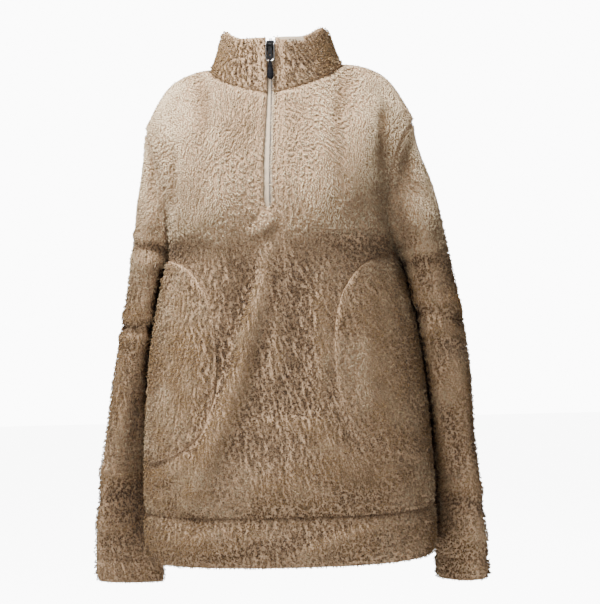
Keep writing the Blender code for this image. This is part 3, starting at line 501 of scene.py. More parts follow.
def new_material(name: str) -> tuple[bpy.types.Material, Shader, bpy.types.Node]:
    """A new node material.

    Args:
        name: The material's name.

    Returns:
        The material, its node helper and its Principled shader.
    """
    material = bpy.data.materials.new(name)
    material.use_nodes = True
    shader = Shader(material.node_tree)
    return material, shader, material.node_tree.nodes["Principled BSDF"]


def cloud_group() -> bpy.types.NodeTree:
    """The shared effect of soft blotches over a surface: a mask from noise of several sizes."""
    name = "soft_blotches"
    found = bpy.data.node_groups.get(name)
    if found:
        return found
    tree = bpy.data.node_groups.new(name, "ShaderNodeTree")
    tree.interface.new_socket("Vector", in_out="INPUT", socket_type="NodeSocketVector")
    tree.interface.new_socket("Scale", in_out="INPUT", socket_type="NodeSocketFloat")
    tree.interface.new_socket("Mask", in_out="OUTPUT", socket_type="NodeSocketFloat")
    nodes = Shader(tree)
    start, end = nodes.add("NodeGroupInput"), nodes.add("NodeGroupOutput")
    cloud = nodes.add("ShaderNodeTexNoise", {"Detail": 3.0})
    nodes.join(start.outputs["Vector"], cloud.inputs["Vector"])
    nodes.join(start.outputs["Scale"], cloud.inputs["Scale"])
    nodes.join(nodes.remap(cloud.outputs["Fac"], start=(0.35, 0.65)), end.inputs["Mask"])
    return tree


def add_cloud(nodes: Shader, scale: float) -> bpy.types.NodeSocket:
    """Places the blotch group on the piece's own coordinates and gives its mask.

    Args:
        nodes: The helper of the material.
        scale: About how many blotches there are to a metre.

    Returns:
        The mask.
    """
    group = nodes.add("ShaderNodeGroup", node_tree=cloud_group())
    set_sockets(group, {"Scale": scale})
    nodes.join(nodes.place(), group.inputs["Vector"])
    return group.outputs["Mask"]


@dataclass(frozen=True)
class PileFinish:
    """Curly pile: dark at the roots, pale at the tips, with tufts and patches that differ, painted shade in
    tuft gaps, on short pile and in the folds' troughs, and painted light on ridges, chest and shoulders.
    """

    name: str = "curly_pile"
    root: tuple[float, float, float] = (0.200, 0.112, 0.050)
    middle: tuple[float, float, float] = (0.660, 0.490, 0.305)
    tip: tuple[float, float, float] = (0.965, 0.840, 0.585)
    # warm is the tone of the lower part; pale is the painted light of the chest and shoulders, and of the
    # folds' ridges.
    warm: tuple[float, float, float] = (0.225, 0.165, 0.096)
    pale: tuple[float, float, float] = (1.0, 1.0, 1.0)
    # sunk is the colour of the painted shade in a fold's trough.
    hollow_shade: tuple[float, float, float] = (0.39, 0.32, 0.26)
    sheen: float = 0.12
    sheen_tint: tuple[float, float, float] = (1.0, 0.93, 0.84)

    def material(self) -> bpy.types.Material:
        """Makes the material, which reads the curls' own tone attribute.

        Returns:
            The material.
        """
        material, nodes, surface = new_material(self.name)
        tone = nodes.add("ShaderNodeAttribute", attribute_name="tone")
        split = nodes.add("ShaderNodeSeparateColor")
        nodes.join(tone.outputs["Color"], split.inputs["Color"])
        along = nodes.ramp(
            split.outputs["Red"], [(0.0, self.root), (0.45, self.middle), (1.0, self.tip)]
        )
        # Blue: painted light that makes the chest and shoulders pale, over the lower part's tone and its
        # random patches.
        patch = nodes.ramp(split.outputs["Blue"], [(0.0, self.warm), (1.0, self.pale)])
        # Green: painted shade in the folds' troughs and painted light on their ridges, with a random part.
        tuft = nodes.ramp(split.outputs["Green"], [(0.0, self.hollow_shade), (1.0, self.pale)])
        colour = nodes.multiply(nodes.multiply(along, patch), tuft)
        nodes.join(colour, surface.inputs["Base Color"])
        set_sockets(
            surface,
            {
                "Roughness": 0.85,
                "Sheen Weight": self.sheen,
                "Sheen Roughness": 0.5,
                "Sheen Tint": (*self.sheen_tint, 1.0),
                "Specular IOR Level": 0.25,
            },
        )
        return material


@dataclass(frozen=True)
class GroundFinish:
    """The knit ground that the pile stands on: seen between the curls and in the parted seams."""

    name: str = "pile_ground"
    dark: tuple[float, float, float] = (0.240, 0.150, 0.085)
    light: tuple[float, float, float] = (0.480, 0.340, 0.215)
    loops: float = 420.0

    def material(self) -> bpy.types.Material:
        """Makes the material: small loops of two browns with a bump.

        Returns:
            The material.
        """
        material, nodes, surface = new_material(self.name)
        cells = nodes.add("ShaderNodeTexVoronoi", {"Scale": self.loops})
        nodes.join(nodes.place(), cells.inputs["Vector"])
        colour = nodes.ramp(cells.outputs["Distance"], [(0.0, self.light), (0.8, self.dark)])
        nodes.join(colour, surface.inputs["Base Color"])
        nodes.bump(cells.outputs["Distance"], 0.6, 0.0008, surface)
        set_sockets(surface, {"Roughness": 0.95, "Specular IOR Level": 0.1})
        return material


@dataclass(frozen=True)
class KnitBackFinish:
    """The smooth inside of the fleece: a fine jersey with rows of small stitches."""

    name: str = "knit_back"
    dark: tuple[float, float, float] = (0.27, 0.20, 0.135)
    light: tuple[float, float, float] = (0.42, 0.33, 0.235)
    rows: float = 150.0
    row_share: float = 0.45
    cloud_share: float = 0.55

    def material(self) -> bpy.types.Material:
        """Makes the material: fine rows across, blurred by blotches.

        Returns:
            The material.
        """
        material, nodes, surface = new_material(self.name)
        rows = nodes.add(
            "ShaderNodeTexWave",
            {"Scale": self.rows, "Distortion": 1.5, "Detail": 2.0},
            bands_direction="Z",
        )
        nodes.join(nodes.place(), rows.inputs["Vector"])
        blotches = nodes.add("ShaderNodeMath", {1: self.cloud_share}, operation="MULTIPLY")
        nodes.join(add_cloud(nodes, 22.0), blotches.inputs[0])
        mix = nodes.add("ShaderNodeMath", {1: self.row_share}, operation="MULTIPLY_ADD")
        nodes.join(rows.outputs["Fac"], mix.inputs[0])
        nodes.join(blotches.outputs["Value"], mix.inputs[2])
        colour = nodes.ramp(mix.outputs["Value"], [(0.0, self.dark), (1.0, self.light)])
        nodes.join(colour, surface.inputs["Base Color"])
        nodes.bump(rows.outputs["Fac"], 0.3, 0.0004, surface)
        set_sockets(surface, {"Roughness": 0.9, "Sheen Weight": 0.15})
        return material


@dataclass(frozen=True)
class TapeFinish:
    """Woven zip tape, pale on the chest, with painted shade that darkens it round the slider at the collar.
    """

    name: str = "woven_tape"
    dark: tuple[float, float, float] = (0.34, 0.26, 0.18)
    light: tuple[float, float, float] = (0.50, 0.40, 0.28)
    # Painted shade round the slider at the collar: none below the first height, full above the second.
    unshaded: tuple[float, float, float] = (1.0, 1.0, 1.0)
    collar_shade: tuple[float, float, float] = (0.30, 0.24, 0.19)
    collar_shade_z: tuple[float, float] = (-0.045, -0.005)
    ribs: tuple[tuple[str, float], ...] = (("X", 420.0), ("Z", 330.0))

    def material(self) -> bpy.types.Material:
        """Makes the material: fine crossing ribs.

        Returns:
            The material.
        """
        material, nodes, surface = new_material(self.name)
        place = nodes.place()
        both = nodes.add("ShaderNodeMath", operation="MULTIPLY")
        for index, (direction, scale) in enumerate(self.ribs):
            wave = nodes.add("ShaderNodeTexWave", {"Scale": scale}, bands_direction=direction)
            nodes.join(place, wave.inputs["Vector"])
            nodes.join(wave.outputs["Fac"], both.inputs[index])
        colour = nodes.ramp(both.outputs["Value"], [(0.0, self.dark), (0.7, self.light)])
        split = nodes.add("ShaderNodeSeparateXYZ")
        nodes.join(place, split.inputs["Vector"])
        # Painted shade towards the top, round the slider.
        height = nodes.remap(split.outputs["Z"], start=self.collar_shade_z)
        collar_shaded = nodes.ramp(height, [(0.0, self.unshaded), (1.0, self.collar_shade)])
        nodes.join(nodes.multiply(colour, collar_shaded), surface.inputs["Base Color"])
        nodes.bump(both.outputs["Value"], 0.5, 0.0003, surface)
        set_sockets(surface, {"Roughness": 0.75})
        return material


@dataclass(frozen=True)
class HardFinish:
    """Enamel, wire, rubber or nylon: one colour with worn patches of another."""

    name: str
    colour: tuple[float, float, float]
    worn: tuple[float, float, float]
    roughness: tuple[float, float]
    metallic: float
    wear_from: float
    grain: float
    gloss: float = 0.5

    def material(self) -> bpy.types.Material:
        """Makes the material.

        Returns:
            The material.
        """
        material, nodes, surface = new_material(self.name)
        mask = add_cloud(nodes, self.grain)
        colour = nodes.ramp(mask, [(self.wear_from, self.colour), (1.0, self.worn)])
        nodes.join(colour, surface.inputs["Base Color"])
        nodes.join(nodes.remap(mask, end=self.roughness), surface.inputs["Roughness"])
        set_sockets(surface, {"Metallic": self.metallic, "Specular IOR Level": self.gloss})
        return material


ENAMEL = HardFinish(
    "black_enamel_worn",
    colour=(0.003, 0.003, 0.003),
    worn=(0.012, 0.012, 0.013),
    roughness=(0.38, 0.55),
    metallic=0.0,
    wear_from=0.6,
    grain=900.0,
    gloss=0.12,
)
WIRE = HardFinish(
    "bright_wire",
    colour=(0.42, 0.41, 0.40),
    worn=(0.28, 0.27, 0.26),
    roughness=(0.24, 0.42),
    metallic=1.0,
    wear_from=0.5,
    grain=1400.0,
)
RUBBER = HardFinish(
    "soft_rubber",
    colour=(0.003, 0.003, 0.004),
    worn=(0.010, 0.010, 0.012),
    roughness=(0.50, 0.70),
    metallic=0.0,
    wear_from=0.3,
    grain=1100.0,
    gloss=0.05,
)
COIL = HardFinish(
    "chain_nylon",
    colour=(0.075, 0.070, 0.068),
    worn=(0.150, 0.138, 0.128),
    roughness=(0.35, 0.55),
    metallic=0.0,
    wear_from=0.3,
    grain=900.0,
)


@dataclass
class Materials:
    """All finishes of the garment, made once."""

    pile: bpy.types.Material = field(default_factory=lambda: PileFinish().material())
    ground: bpy.types.Material = field(default_factory=lambda: GroundFinish().material())
    back: bpy.types.Material = field(default_factory=lambda: KnitBackFinish().material())
    tape: bpy.types.Material = field(default_factory=lambda: TapeFinish().material())
    enamel: bpy.types.Material = field(default_factory=ENAMEL.material)
    wire: bpy.types.Material = field(default_factory=WIRE.material)
    rubber: bpy.types.Material = field(default_factory=RUBBER.material)
    coil: bpy.types.Material = field(default_factory=COIL.material)


def points_tree() -> bpy.types.NodeTree:
    """Geometry nodes that scatter evenly spaced points over faces and keep their normals."""
    name = "curl_roots"
    found = bpy.data.node_groups.get(name)
    if found:
        return found
    tree = bpy.data.node_groups.new(name, "GeometryNodeTree")
    tree.interface.new_socket("Geometry", in_out="INPUT", socket_type="NodeSocketGeometry")
    tree.interface.new_socket("Seed", in_out="INPUT", socket_type="NodeSocketInt")
    tree.interface.new_socket("Geometry", in_out="OUTPUT", socket_type="NodeSocketGeometry")
    nodes = Shader(tree)
    start, end = nodes.add("NodeGroupInput"), nodes.add("NodeGroupOutput")
    scatter = nodes.add(
        "GeometryNodeDistributePointsOnFaces",
        {"Distance Min": CURL_SPACING, "Density Max": CURL_TRIES / CURL_SPACING**2},
        distribute_method="POISSON",
    )
    keep = nodes.add(
        "GeometryNodeStoreNamedAttribute", {"Name": "facing"}, data_type="FLOAT_VECTOR", domain="POINT"
    )
    lift = nodes.add("GeometryNodePointsToVertices")
    nodes.join(start.outputs["Geometry"], scatter.inputs["Mesh"])
    nodes.join(start.outputs["Seed"], scatter.inputs["Seed"])
    nodes.join(scatter.outputs["Points"], keep.inputs["Geometry"])
    nodes.join(scatter.outputs["Normal"], keep.inputs["Value"])
    nodes.join(keep.outputs["Geometry"], lift.inputs["Points"])
    nodes.join(lift.outputs["Mesh"], end.inputs["Geometry"])
    return tree


@dataclass(frozen=True)
class ToneRange:
    """How the three tones of a lock follow the place where it stands. Each runs from 0 to 1.

    Attributes:
        middle: The tone along a lock at its middle. It is 0 at the foot and full at the tip.
        tuft: The full tone on even pile, and what a tuft adds to it, which leaves painted shade in the gaps
            between tufts.
        least: The least that the full tone is.
        hollow_shade: The share of it that the shortest pile keeps, as painted shade in seams and stitch
            grooves.
        fold: The tone of the fold on even cloth, what a ridge adds as painted light and a trough takes as
            painted shade, and what chance adds or takes.
        patch: The tone of the patch on the lower part, and what slow and quick noise add.
        patch_noise: The waves to a metre of the slow and the quick noise.
    """

    middle: float = 0.72
    tuft: tuple[float, float] = (0.82, 1.25)
    least: float = 0.20
    hollow_shade: float = 0.45
    fold: tuple[float, float, float] = (0.62, 0.60, 0.22)
    patch: tuple[float, float, float] = (0.06, 0.36, 0.30)
    patch_noise: tuple[float, float] = (11.0, 34.0)


@dataclass
class PileCoat:
    """The pile of one panel: short curls, each a bent three-sided lock with a point at both ends.

    The nap is long and lies flat on the chest and shoulders, and is ruffled into small clumps below.

    Attributes:
        name: The pile's name.
        seed: The seed of its random draws.
        length: How far the locks reach along the cloth, shortest and longest.
        height: How tall they stand outside the tufts, shortest and tallest.
        radius: Half their width at the middle, narrowest and widest.
        sideways: How far their middles bend to a side at most.
        crest: How far up and ahead the middle is, as shares of the height and the length.
        tip: How far up the tip is, as a share of the height, and aside, as a share of the bend.
        tilt: How much the ring round the middle turns to the cloth's normal and against the lean.
        nap, swirl, gather, stray, chance: How strongly the locks lean down, with slow noise,
            towards the middle of their tuft, with fine noise and by chance.
        clump: How much taller they stand in a tuft.
        least_ruffle: The least that they are ruffled.
        chest_light_share: How much of the painted light that makes the chest and shoulders pale they take.
        lap: How strongly those beside the zip lean over it.
        tone: The range of their tones.
    """

    name: str
    seed: int
    length: tuple[float, float] = (0.0038, 0.0060)
    height: tuple[float, float] = (0.0026, 0.0036)
    radius: tuple[float, float] = (0.00070, 0.00105)
    sideways: float = 0.0016
    crest: tuple[float, float] = (0.87, 0.42)
    tip: tuple[float, float] = (0.64, -0.5)
    tilt: tuple[float, float] = (0.8, 0.6)
    nap: float = 0.9
    swirl: float = 0.9
    gather: float = 2.2
    stray: float = 1.1
    chance: float = 0.36
    clump: float = 1.45
    least_ruffle: float = 0.15
    chest_light_share: float = 1.0
    lap: float = 0.0
    tone: ToneRange = ToneRange()

    def scatter(
        self, surface: bpy.types.Object
    ) -> tuple[np.ndarray, np.ndarray, np.ndarray, np.ndarray]:
        """Finds where the curls stand on a surface.

        Args:
            surface: The object with the point attributes "cover", how tall the pile is there, and
                "fold", 1 on a ridge and -1 in a trough.

        Returns:
            The roots, their normals, and the cover and the fold at each.
        """
        helper = new_object(self.name + "_roots", surface.data.copy())
        modifier = helper.modifiers.new("roots", "NODES")
        modifier.node_group = points_tree()
        modifier["Socket_1"] = self.seed
        apply_modifiers(helper)
        mesh = helper.data
        roots = read_points(mesh)
        facing = np.empty(len(roots) * 3, np.float32)
        mesh.attributes["facing"].data.foreach_get("vector", facing)
        cover, fold = (read_values(mesh, name) for name in ("cover", "fold"))
        drop_object(helper)
        keep = cover > LEAST_COVER
        normals = unit(facing.reshape(-1, 3).astype(float))
        return roots[keep], normals[keep], cover[keep], fold[keep]

    def lay(
        self,
        roots: np.ndarray,
        normals: np.ndarray,
        pull: np.ndarray,
        ruffle: np.ndarray,
        rng: np.random.Generator,
    ) -> np.ndarray:
        """The way each curl leans: down with the nap, swirled by noise and pulled into its tuft.

        Args:
            roots: The curls' roots.
            normals: The cloth's normals there.
            pull: The way from each to the middle of its tuft.
            ruffle: How ruffled the pile is there.
            rng: The source of the random draws.

        Returns:
            Ways of length 1 along the cloth.
        """
        chance = rng.normal(0.0, 1.0, roots.shape)
        down = np.array((0.0, 0.0, -self.nap))
        fine = swirl_at(roots, STRAY_NOISE)
        loose = pull * self.gather + fine * self.stray + chance * self.chance
        lean = down + swirl_at(roots, SWIRL_NOISE) * self.swirl + loose * ruffle[:, None]
        lean[by_zip(roots)] += np.array((-self.lap, 0.0, 0.0))
        lean -= normals * np.sum(lean * normals, axis=1, keepdims=True)
        return unit(lean)

    def grow(
        self, surface: bpy.types.Object, material: bpy.types.Material, sides: tuple[int, ...]
    ) -> list[bpy.types.Object]:
        """Builds the curls.

        Args:
            surface: The surface that they stand on, with its cover.
            material: The pile's material.
            sides: 0 for the whole panel in one piece, or -1 and 1 for a piece each side of x = 0.

        Returns:
            The finished objects.
        """
        roots, normals, cover, fold = self.scatter(surface)
        rng = np.random.default_rng(self.seed)
        count = len(roots)
        ridge = np.maximum(fold, 0.0)
        ruffle = np.maximum(ruffled(roots), self.least_ruffle) * (1.0 - RIDGE_CALM * ridge)
        lumps, pull = tufts(roots)
        lean = self.lay(roots, normals, pull, ruffle, rng)
        across = np.cross(normals, lean)
        length = rng.uniform(*self.length, count) * lifted(cover, SHORT_LOCK)
        tall = 1.0 + self.clump * lumps * ruffle
        height = rng.uniform(*self.height, count) * cover * tall
        radius = rng.uniform(*self.radius, count) * lifted(cover, THIN_LOCK)
        bend = rng.uniform(-self.sideways, self.sideways, count) * ruffle

        def spot(up: np.ndarray, ahead: np.ndarray, side: np.ndarray) -> np.ndarray:
            """The points this far up, ahead and aside from the roots."""
            return roots + normals * up[:, None] + lean * ahead[:, None] + across * side[:, None]

        points = np.empty((count, CURL_SIDES + 2, 3))
        points[:, 0] = spot(np.full(count, -CURL_ROOT), length * 0.0, bend * 0.0)
        middle = spot(height * self.crest[0], length * self.crest[1], bend)
        tilted = normals * self.tilt[0] - lean * self.tilt[1]
        for k in range(CURL_SIDES):
            turn = 2.0 * math.pi * k / CURL_SIDES
            ring = across * math.cos(turn) + tilted * -math.sin(turn)
            points[:, 1 + k] = middle + ring * radius[:, None]
        points[:, CURL_SIDES + 1] = spot(height * self.tip[0], length, bend * self.tip[1])
        tone = self.tones(roots, lumps * ruffle, cover, fold, rng)
        pieces = []
        for side in sides:
            here = roots[:, 0] * side >= 0.0 if side else np.full(count, True)
            mark = {0: "", -1: "_right", 1: "_left"}[side]
            obj = new_object(self.name + mark, lock_mesh(self.name + mark, points[here], tone[here]))
            obj.data.materials.append(material)
            pieces.append(obj)
        return pieces

    def tones(
        self,
        roots: np.ndarray,
        lumps: np.ndarray,
        cover: np.ndarray,
        fold: np.ndarray,
        rng: np.random.Generator,
    ) -> np.ndarray:
        """Each point's tone: red is the way along the lock, with painted shade in tuft gaps and on short
        pile; green is the fold's painted shade and light; blue is the chest's painted light with patches.

        Args:
            roots: The curls' roots.
            lumps: How far each is inside its tuft.
            cover: How tall the pile is there.
            fold: 1 on a ridge and -1 in a trough.
            rng: The source of the random draws.

        Returns:
            A colour for each point of each lock.
        """
        count, span = len(roots), self.tone
        # Red: locks in the gaps between tufts, and short locks beside seams and stitch lines, are darkened
        # towards their roots' colour as painted shade.
        even, rise = span.tuft
        tone = np.ones((count, CURL_SIDES + 2, 4), np.float32)
        tone[..., 0] = np.array([0.0] + [span.middle] * CURL_SIDES + [1.0])[None]
        full = np.clip(even + rise * lumps, span.least, 1.0) * lifted(smooth(cover), span.hollow_shade)
        tone[..., 0] *= full[:, None]
        # Green: painted shade in the folds' troughs and painted light on their ridges, with a random part.
        even, rise, spread = span.fold
        chance = rng.uniform(-spread, spread, count)
        tone[..., 1] = np.clip(even + rise * fold + chance, 0.0, 1.0)[:, None]
        # Blue: painted light that makes the chest and shoulders pale, over the lower part's tone, with
        # random patches.
        low, slow, quick = span.patch
        high = lifted(chest_share(roots) * self.chest_light_share, low)
        blotches = [noise_at(roots, scale) for scale in span.patch_noise]
        tone[..., 2] = np.clip(high + slow * blotches[0] + quick * blotches[1], 0.0, 1.0)[:, None]
        return tone


def tufts(points: np.ndarray) -> tuple[np.ndarray, np.ndarray]:
    """The tufts that the pile parts into.

    Args:
        points: Rows of x, y, z.

    Returns:
        How far each point is inside a tuft, from about -0.5 in a gap to 0.5, and the way to its middle.
    """
    inside = noise_at(points, TUFT_NOISE)
    steps = np.eye(3) * TUFT_STEP
    beside = np.stack([noise_at(points, TUFT_NOISE, step) for step in steps], axis=1)
    return inside, (beside - inside[:, None]) / (TUFT_STEP * TUFT_NOISE)


def chest_share(points: np.ndarray) -> np.ndarray:
    """1 on the chest and shoulders, 0 from the waist down, with a ragged change between them."""
    stray = noise_at(points, CHEST_NOISE) * CHEST_STRAY
    return smooth((points[:, 2] + stray - CHEST_FOOT_Z) / (CHEST_TOP_Z - CHEST_FOOT_Z))


def ruffled(points: np.ndarray) -> np.ndarray:
    """How ruffled the nap is: little on the chest and shoulders, fully below, with patches."""
    patch = noise_at(points, PATCH_NOISE)
    return np.clip(lifted(1.0 - chest_share(points), CALM_RUFFLE) + PATCH_RUFFLE * patch, 0.0, 1.0)


def by_zip(points: np.ndarray) -> np.ndarray:
    """Which points lie on the strip on the garment's left whose pile laps over the zip."""
    across = (points[:, 0] > 0.0) & (points[:, 0] < LAP_REACH)
    return across & (points[:, 1] < 0.0) & (points[:, 2] > LAP_FOOT_Z)


def lock_mesh(name: str, points: np.ndarray, tone: np.ndarray) -> bpy.types.Mesh:
    """One mesh of all locks.

    Args:
        name: The mesh's name.
        points: Lock by lock, the foot, the middle ring and the tip.
        tone: The colour attribute at each of them.

    Returns:
        The mesh, shaded smooth.
    """
    count, each = points.shape[:2]
    faces = []
    for k in range(CURL_SIDES):
        a, b = 1 + k, 1 + (k + 1) % CURL_SIDES
        faces += [(0, a, b), (b, a, CURL_SIDES + 1)]
    index = (np.arange(count)[:, None, None] * each + np.array(faces)[None]).reshape(-1, 3)
    mesh = bpy.data.meshes.new(name)
    mesh.vertices.add(count * each)
    mesh.vertices.foreach_set("co", points.astype(np.float32).ravel())
    mesh.loops.add(index.size)
    mesh.loops.foreach_set("vertex_index", index.astype(np.int32).ravel())
    mesh.polygons.add(len(index))
    mesh.polygons.foreach_set("loop_start", np.arange(0, index.size, 3, dtype=np.int32))
    mesh.update(calc_edges=True)
    mesh.shade_smooth()
    layer = mesh.attributes.new("tone", "FLOAT_COLOR", "POINT")
    layer.data.foreach_set("color", tone.ravel())
    return mesh


@dataclass
class ClothPanel:
    """One cut piece of fleece: its knit shell and its pile, on the form of one solid or two.

    Attributes:
        name: The solid that it stands for, or the start of its stretches' names.
        build: What it is wrapped round.
        flat: The width and length that it was cut to.
        area: The area of the cut.
        seed: The seed of its curls.
        creases: Its creases.
        edge: The free edge that the pile turns over.
        levels: How many times its shell is subdivided.
        simple: Whether it lies flat on another panel and joins in no seam.
        stitch_x: The places of its stitch lines.
        stitch_cover, stitch_reach: How tall the pile is on them, and how wide it parts.
        bare_top: From where to where the facing rolls over its top edge.
        least_ruffle, paleness, lap: What its pile takes, as PileCoat says.
        seam_cover: How tall the pile is on its seams.
        sides: 0 for the pile in one piece, or -1 and 1 for a piece each side of x = 0.
        stretches: The ends of the names of the solids that it stands for.
    """

    name: str
    build: Build
    flat: tuple[float, float]
    area: float
    seed: int
    creases: tuple[Crease, ...] = ()
    edge: Edge = Edge.NONE
    levels: int = 1
    simple: bool = False
    stitch_x: tuple[float, ...] = ()
    stitch_cover: float = 0.30
    stitch_reach: float = 0.0028
    bare_top: tuple[float, float] = (0.0, 0.0)
    least_ruffle: float = 0.15
    chest_light_share: float = 1.0
    lap: float = 0.0
    seam_cover: float = 0.20
    sides: tuple[int, ...] = (0,)
    stretches: tuple[str, ...] = ("",)

    def nodes(self) -> list[str]:
        """The solids that the panel stands for."""
        return [self.name + stretch for stretch in self.stretches]

    def skin(self) -> bpy.types.Object:
        """A copy of the outer side of the solid, as one open sheet of mostly four-sided faces."""
        mesh = welded(self.nodes())
        mesh.normal_update()
        mesh.faces.ensure_lookup_table()
        middles = np.array([face.calc_center_median() for face in mesh.faces])
        facing = np.array([face.normal for face in mesh.faces])
        away = np.sum(unit(middles - self.core(middles)) * facing, axis=1)
        outer = away > OUTER_TURN if self.simple else smooth_side(mesh, away)
        turned = facing[:, 2] * self.edge.value > UP_TURN
        drop = [face for face, keep in zip(mesh.faces, outer | turned) if not keep]
        bmesh.ops.delete(mesh, geom=drop, context="FACES")
        bmesh.ops.remove_doubles(mesh, verts=mesh.verts[:], dist=STRETCH_JOIN)
        bmesh.ops.join_triangles(
            mesh, faces=mesh.faces[:], angle_face_threshold=0.7, angle_shape_threshold=1.4
        )
        return object_of(mesh, self.name + "_skin")

    def core(self, points: np.ndarray) -> np.ndarray:
        """The point inside the garment that each point of the panel faces away from.

        Args:
            points: Rows of x, y, z.

        Returns:
            Rows of x, y, z.
        """
        core = np.zeros(points.shape)
        if self.build is Build.TRUNK:
            over = points[:, 2] > GIRDLE_Z
            core[:, 0] = np.where(over, np.clip(points[:, 0], -GIRDLE_HALF, GIRDLE_HALF), 0.0)
            core[:, 2] = np.minimum(points[:, 2], GIRDLE_Z)
            return core
        core[:, 2] = points[:, 2]
        if self.build is Build.TUBE:
            for axis in (0, 1):
                line = np.polyfit(points[:, 2], points[:, axis], 3)
                core[:, axis] = np.polyval(line, points[:, 2])
        return core

    def flat_place(self, points: np.ndarray) -> tuple[np.ndarray, np.ndarray]:
        """Where each point lies on the panel, for the creases.

        Args:
            points: Rows of x, y, z.

        Returns:
            Places across the panel, and heights.
        """
        if self.build is not Build.TUBE:
            return points[:, 0], points[:, 2]
        away = points - self.core(points)
        inner = -np.sign(np.mean(points[:, 0]))
        turn = np.arctan2(-away[:, 1], away[:, 0] * inner)
        return np.mod(turn, 2.0 * math.pi) * TUBE_RADIUS, points[:, 2]

    def crease(self, obj: bpy.types.Object) -> None:
        """Presses the creases into a sheet.

        Args:
            obj: The sheet.
        """
        points, normals = read_points(obj.data), read_normals(obj.data)
        across, height = self.flat_place(points)
        move = np.zeros(len(points))
        for one in self.creases:
            move += one.at(across, height)
        move *= smooth(rim_distance(obj.data) / SEAM_FADE)
        write_points(obj.data, points + normals * move[:, None])

    def cover(self, obj: bpy.types.Object) -> None:
        """Writes how tall the pile is at each point: short beside seams and stitch lines.

        Args:
            obj: The sheet.
        """
        mesh = obj.data
        points = read_points(mesh)
        near = rim_distance(mesh)
        cover = lifted(smooth(near / SEAM_PART), self.seam_cover)
        for x in self.stitch_x:
            line = np.abs(points[:, 0] - x) / self.stitch_reach
            groove = lifted(smooth(line), self.stitch_cover)
            cover = np.where(points[:, 1] < 0.0, cover * groove, cover)
        if self.lap:
            cover = np.where(by_zip(points), 1.0, cover)
        cover = self.hide_under_pocket(points, cover)
        cover = np.where(self.bare(points), 0.0, cover)
        write_values(mesh, "cover", cover)
        write_values(mesh, "fold", folds(mesh) * smooth(near / FOLD_FADE))

    def bare(self, points: np.ndarray) -> np.ndarray:
        """Which points lie on the strip of facing that rolls over the front of the top edge.

        Args:
            points: Rows of x, y, z.

        Returns:
            A mark for each point.
        """
        low, high = self.bare_top
        across = (points[:, 0] > low) & (points[:, 0] < high) & (points[:, 1] < 0.0)
        if not across.any():
            return across
        return across & (points[:, 2] > points[across, 2].max() - BARE_DEPTH)

    def hide_under_pocket(self, points: np.ndarray, cover: np.ndarray) -> np.ndarray:
        """Bare cloth under the pocket panels, which stay a part of the front's own height.

        Args:
            points: Rows of x, y, z.
            cover: How tall the pile is at each.

        Returns:
            How tall it is with none under the pockets.
        """
        if self.name != "front":
            return cover
        for side in ("left", "right"):
            lo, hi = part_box("pocket_" + side)
            node = bpy.data.objects["pocket_" + side].data
            near = pocket_distance(node, points)
            level = (points[:, 2] > lo.z - POCKET_PART) & (points[:, 2] < hi.z + POCKET_PART)
            beside = lifted(smooth((near - POCKET_NEAR) / POCKET_PART), POCKET_COVER)
            beside = np.where(near < POCKET_NEAR, 0.0, beside)
            cover = np.where(level, cover * beside, cover)
        return cover

    def make(self, skin: bpy.types.Object, materials: Materials) -> None:
        """Args:
            skin: The panel's sheet, at the depth of the pile's roots.
            materials: The garment's finishes.
        """
        fine = new_object(self.name + "_fine", skin.data.copy())
        subdivide(fine, ROOT_LEVELS, self.simple)
        self.crease(fine)
        self.cover(fine)
        coat = PileCoat(
            "pile_" + self.name,
            self.seed,
            least_ruffle=self.least_ruffle,
            chest_light_share=self.chest_light_share,
            lap=self.lap,
        )
        coats = coat.grow(fine, materials.pile, self.sides)
        drop_object(fine)
        shell = self.shell(skin, materials)
        drop_object(skin)
        for piece in (shell, *coats):
            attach(piece, BODY)
        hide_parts(*self.nodes())
        log.info(
            "%s: shell %d faces, pile %d faces",
            self.name,
            len(shell.data.polygons),
            sum(len(coat.data.polygons) for coat in coats),
        )

    def shell(self, skin: bpy.types.Object, materials: Materials) -> bpy.types.Object:
        """The knit ground of the panel, with its two sides and its cut edges.

        Args:
            skin: The panel's sheet.
            materials: The garment's finishes.

        Returns:
            The shell.
        """
        shell = new_object("cloth_" + self.name, skin.data.copy())
        subdivide(shell, self.levels, self.simple)
        self.crease(shell)
        points, normals = read_points(shell.data), read_normals(shell.data)
        rise = smooth(rim_distance(shell.data) / SEAM_FADE) * GROUND_RISE
        write_points(shell.data, points + normals * rise[:, None])
        shell.data.materials.append(materials.ground)
        shell.data.materials.append(materials.back)
        middles = np.array([face.center for face in shell.data.polygons])
        for face, bare in zip(shell.data.polygons, self.bare(middles)):
            face.material_index = int(bare)
        wall = shell.modifiers.new("wall", "SOLIDIFY")
        wall.thickness = SHELL_THICK
        wall.offset = -1.0
        wall.material_offset = 1
        wall.material_offset_rim = 0
        wall.use_even_offset = False
        apply_modifiers(shell)
        shell.data.shade_smooth()
        return shell


def smooth_side(mesh: bmesh.types.BMesh, away: np.ndarray) -> np.ndarray:
    """Which faces lie on the outer side of each wall: those that no sharp edge parts from its start.

    Args:
        mesh: One or more closed walls.
        away: How far each face is turned away from the middle of the garment, up to 1.

    Returns:
        A mark for each face.
    """
    outer = np.zeros(len(mesh.faces), bool)
    for first in np.argsort(-away):
        if away[first] < START_TURN:
            break
        ahead = [] if outer[first] else [mesh.faces[first]]
        while ahead:
            face = ahead.pop()
            if outer[face.index]:
                continue
            outer[face.index] = True
            for edge in face.edges:
                if len(edge.link_faces) == 2 and edge.calc_face_angle() < SHARP_TURN:
                    ahead += [other for other in edge.link_faces if not outer[other.index]]
    return outer


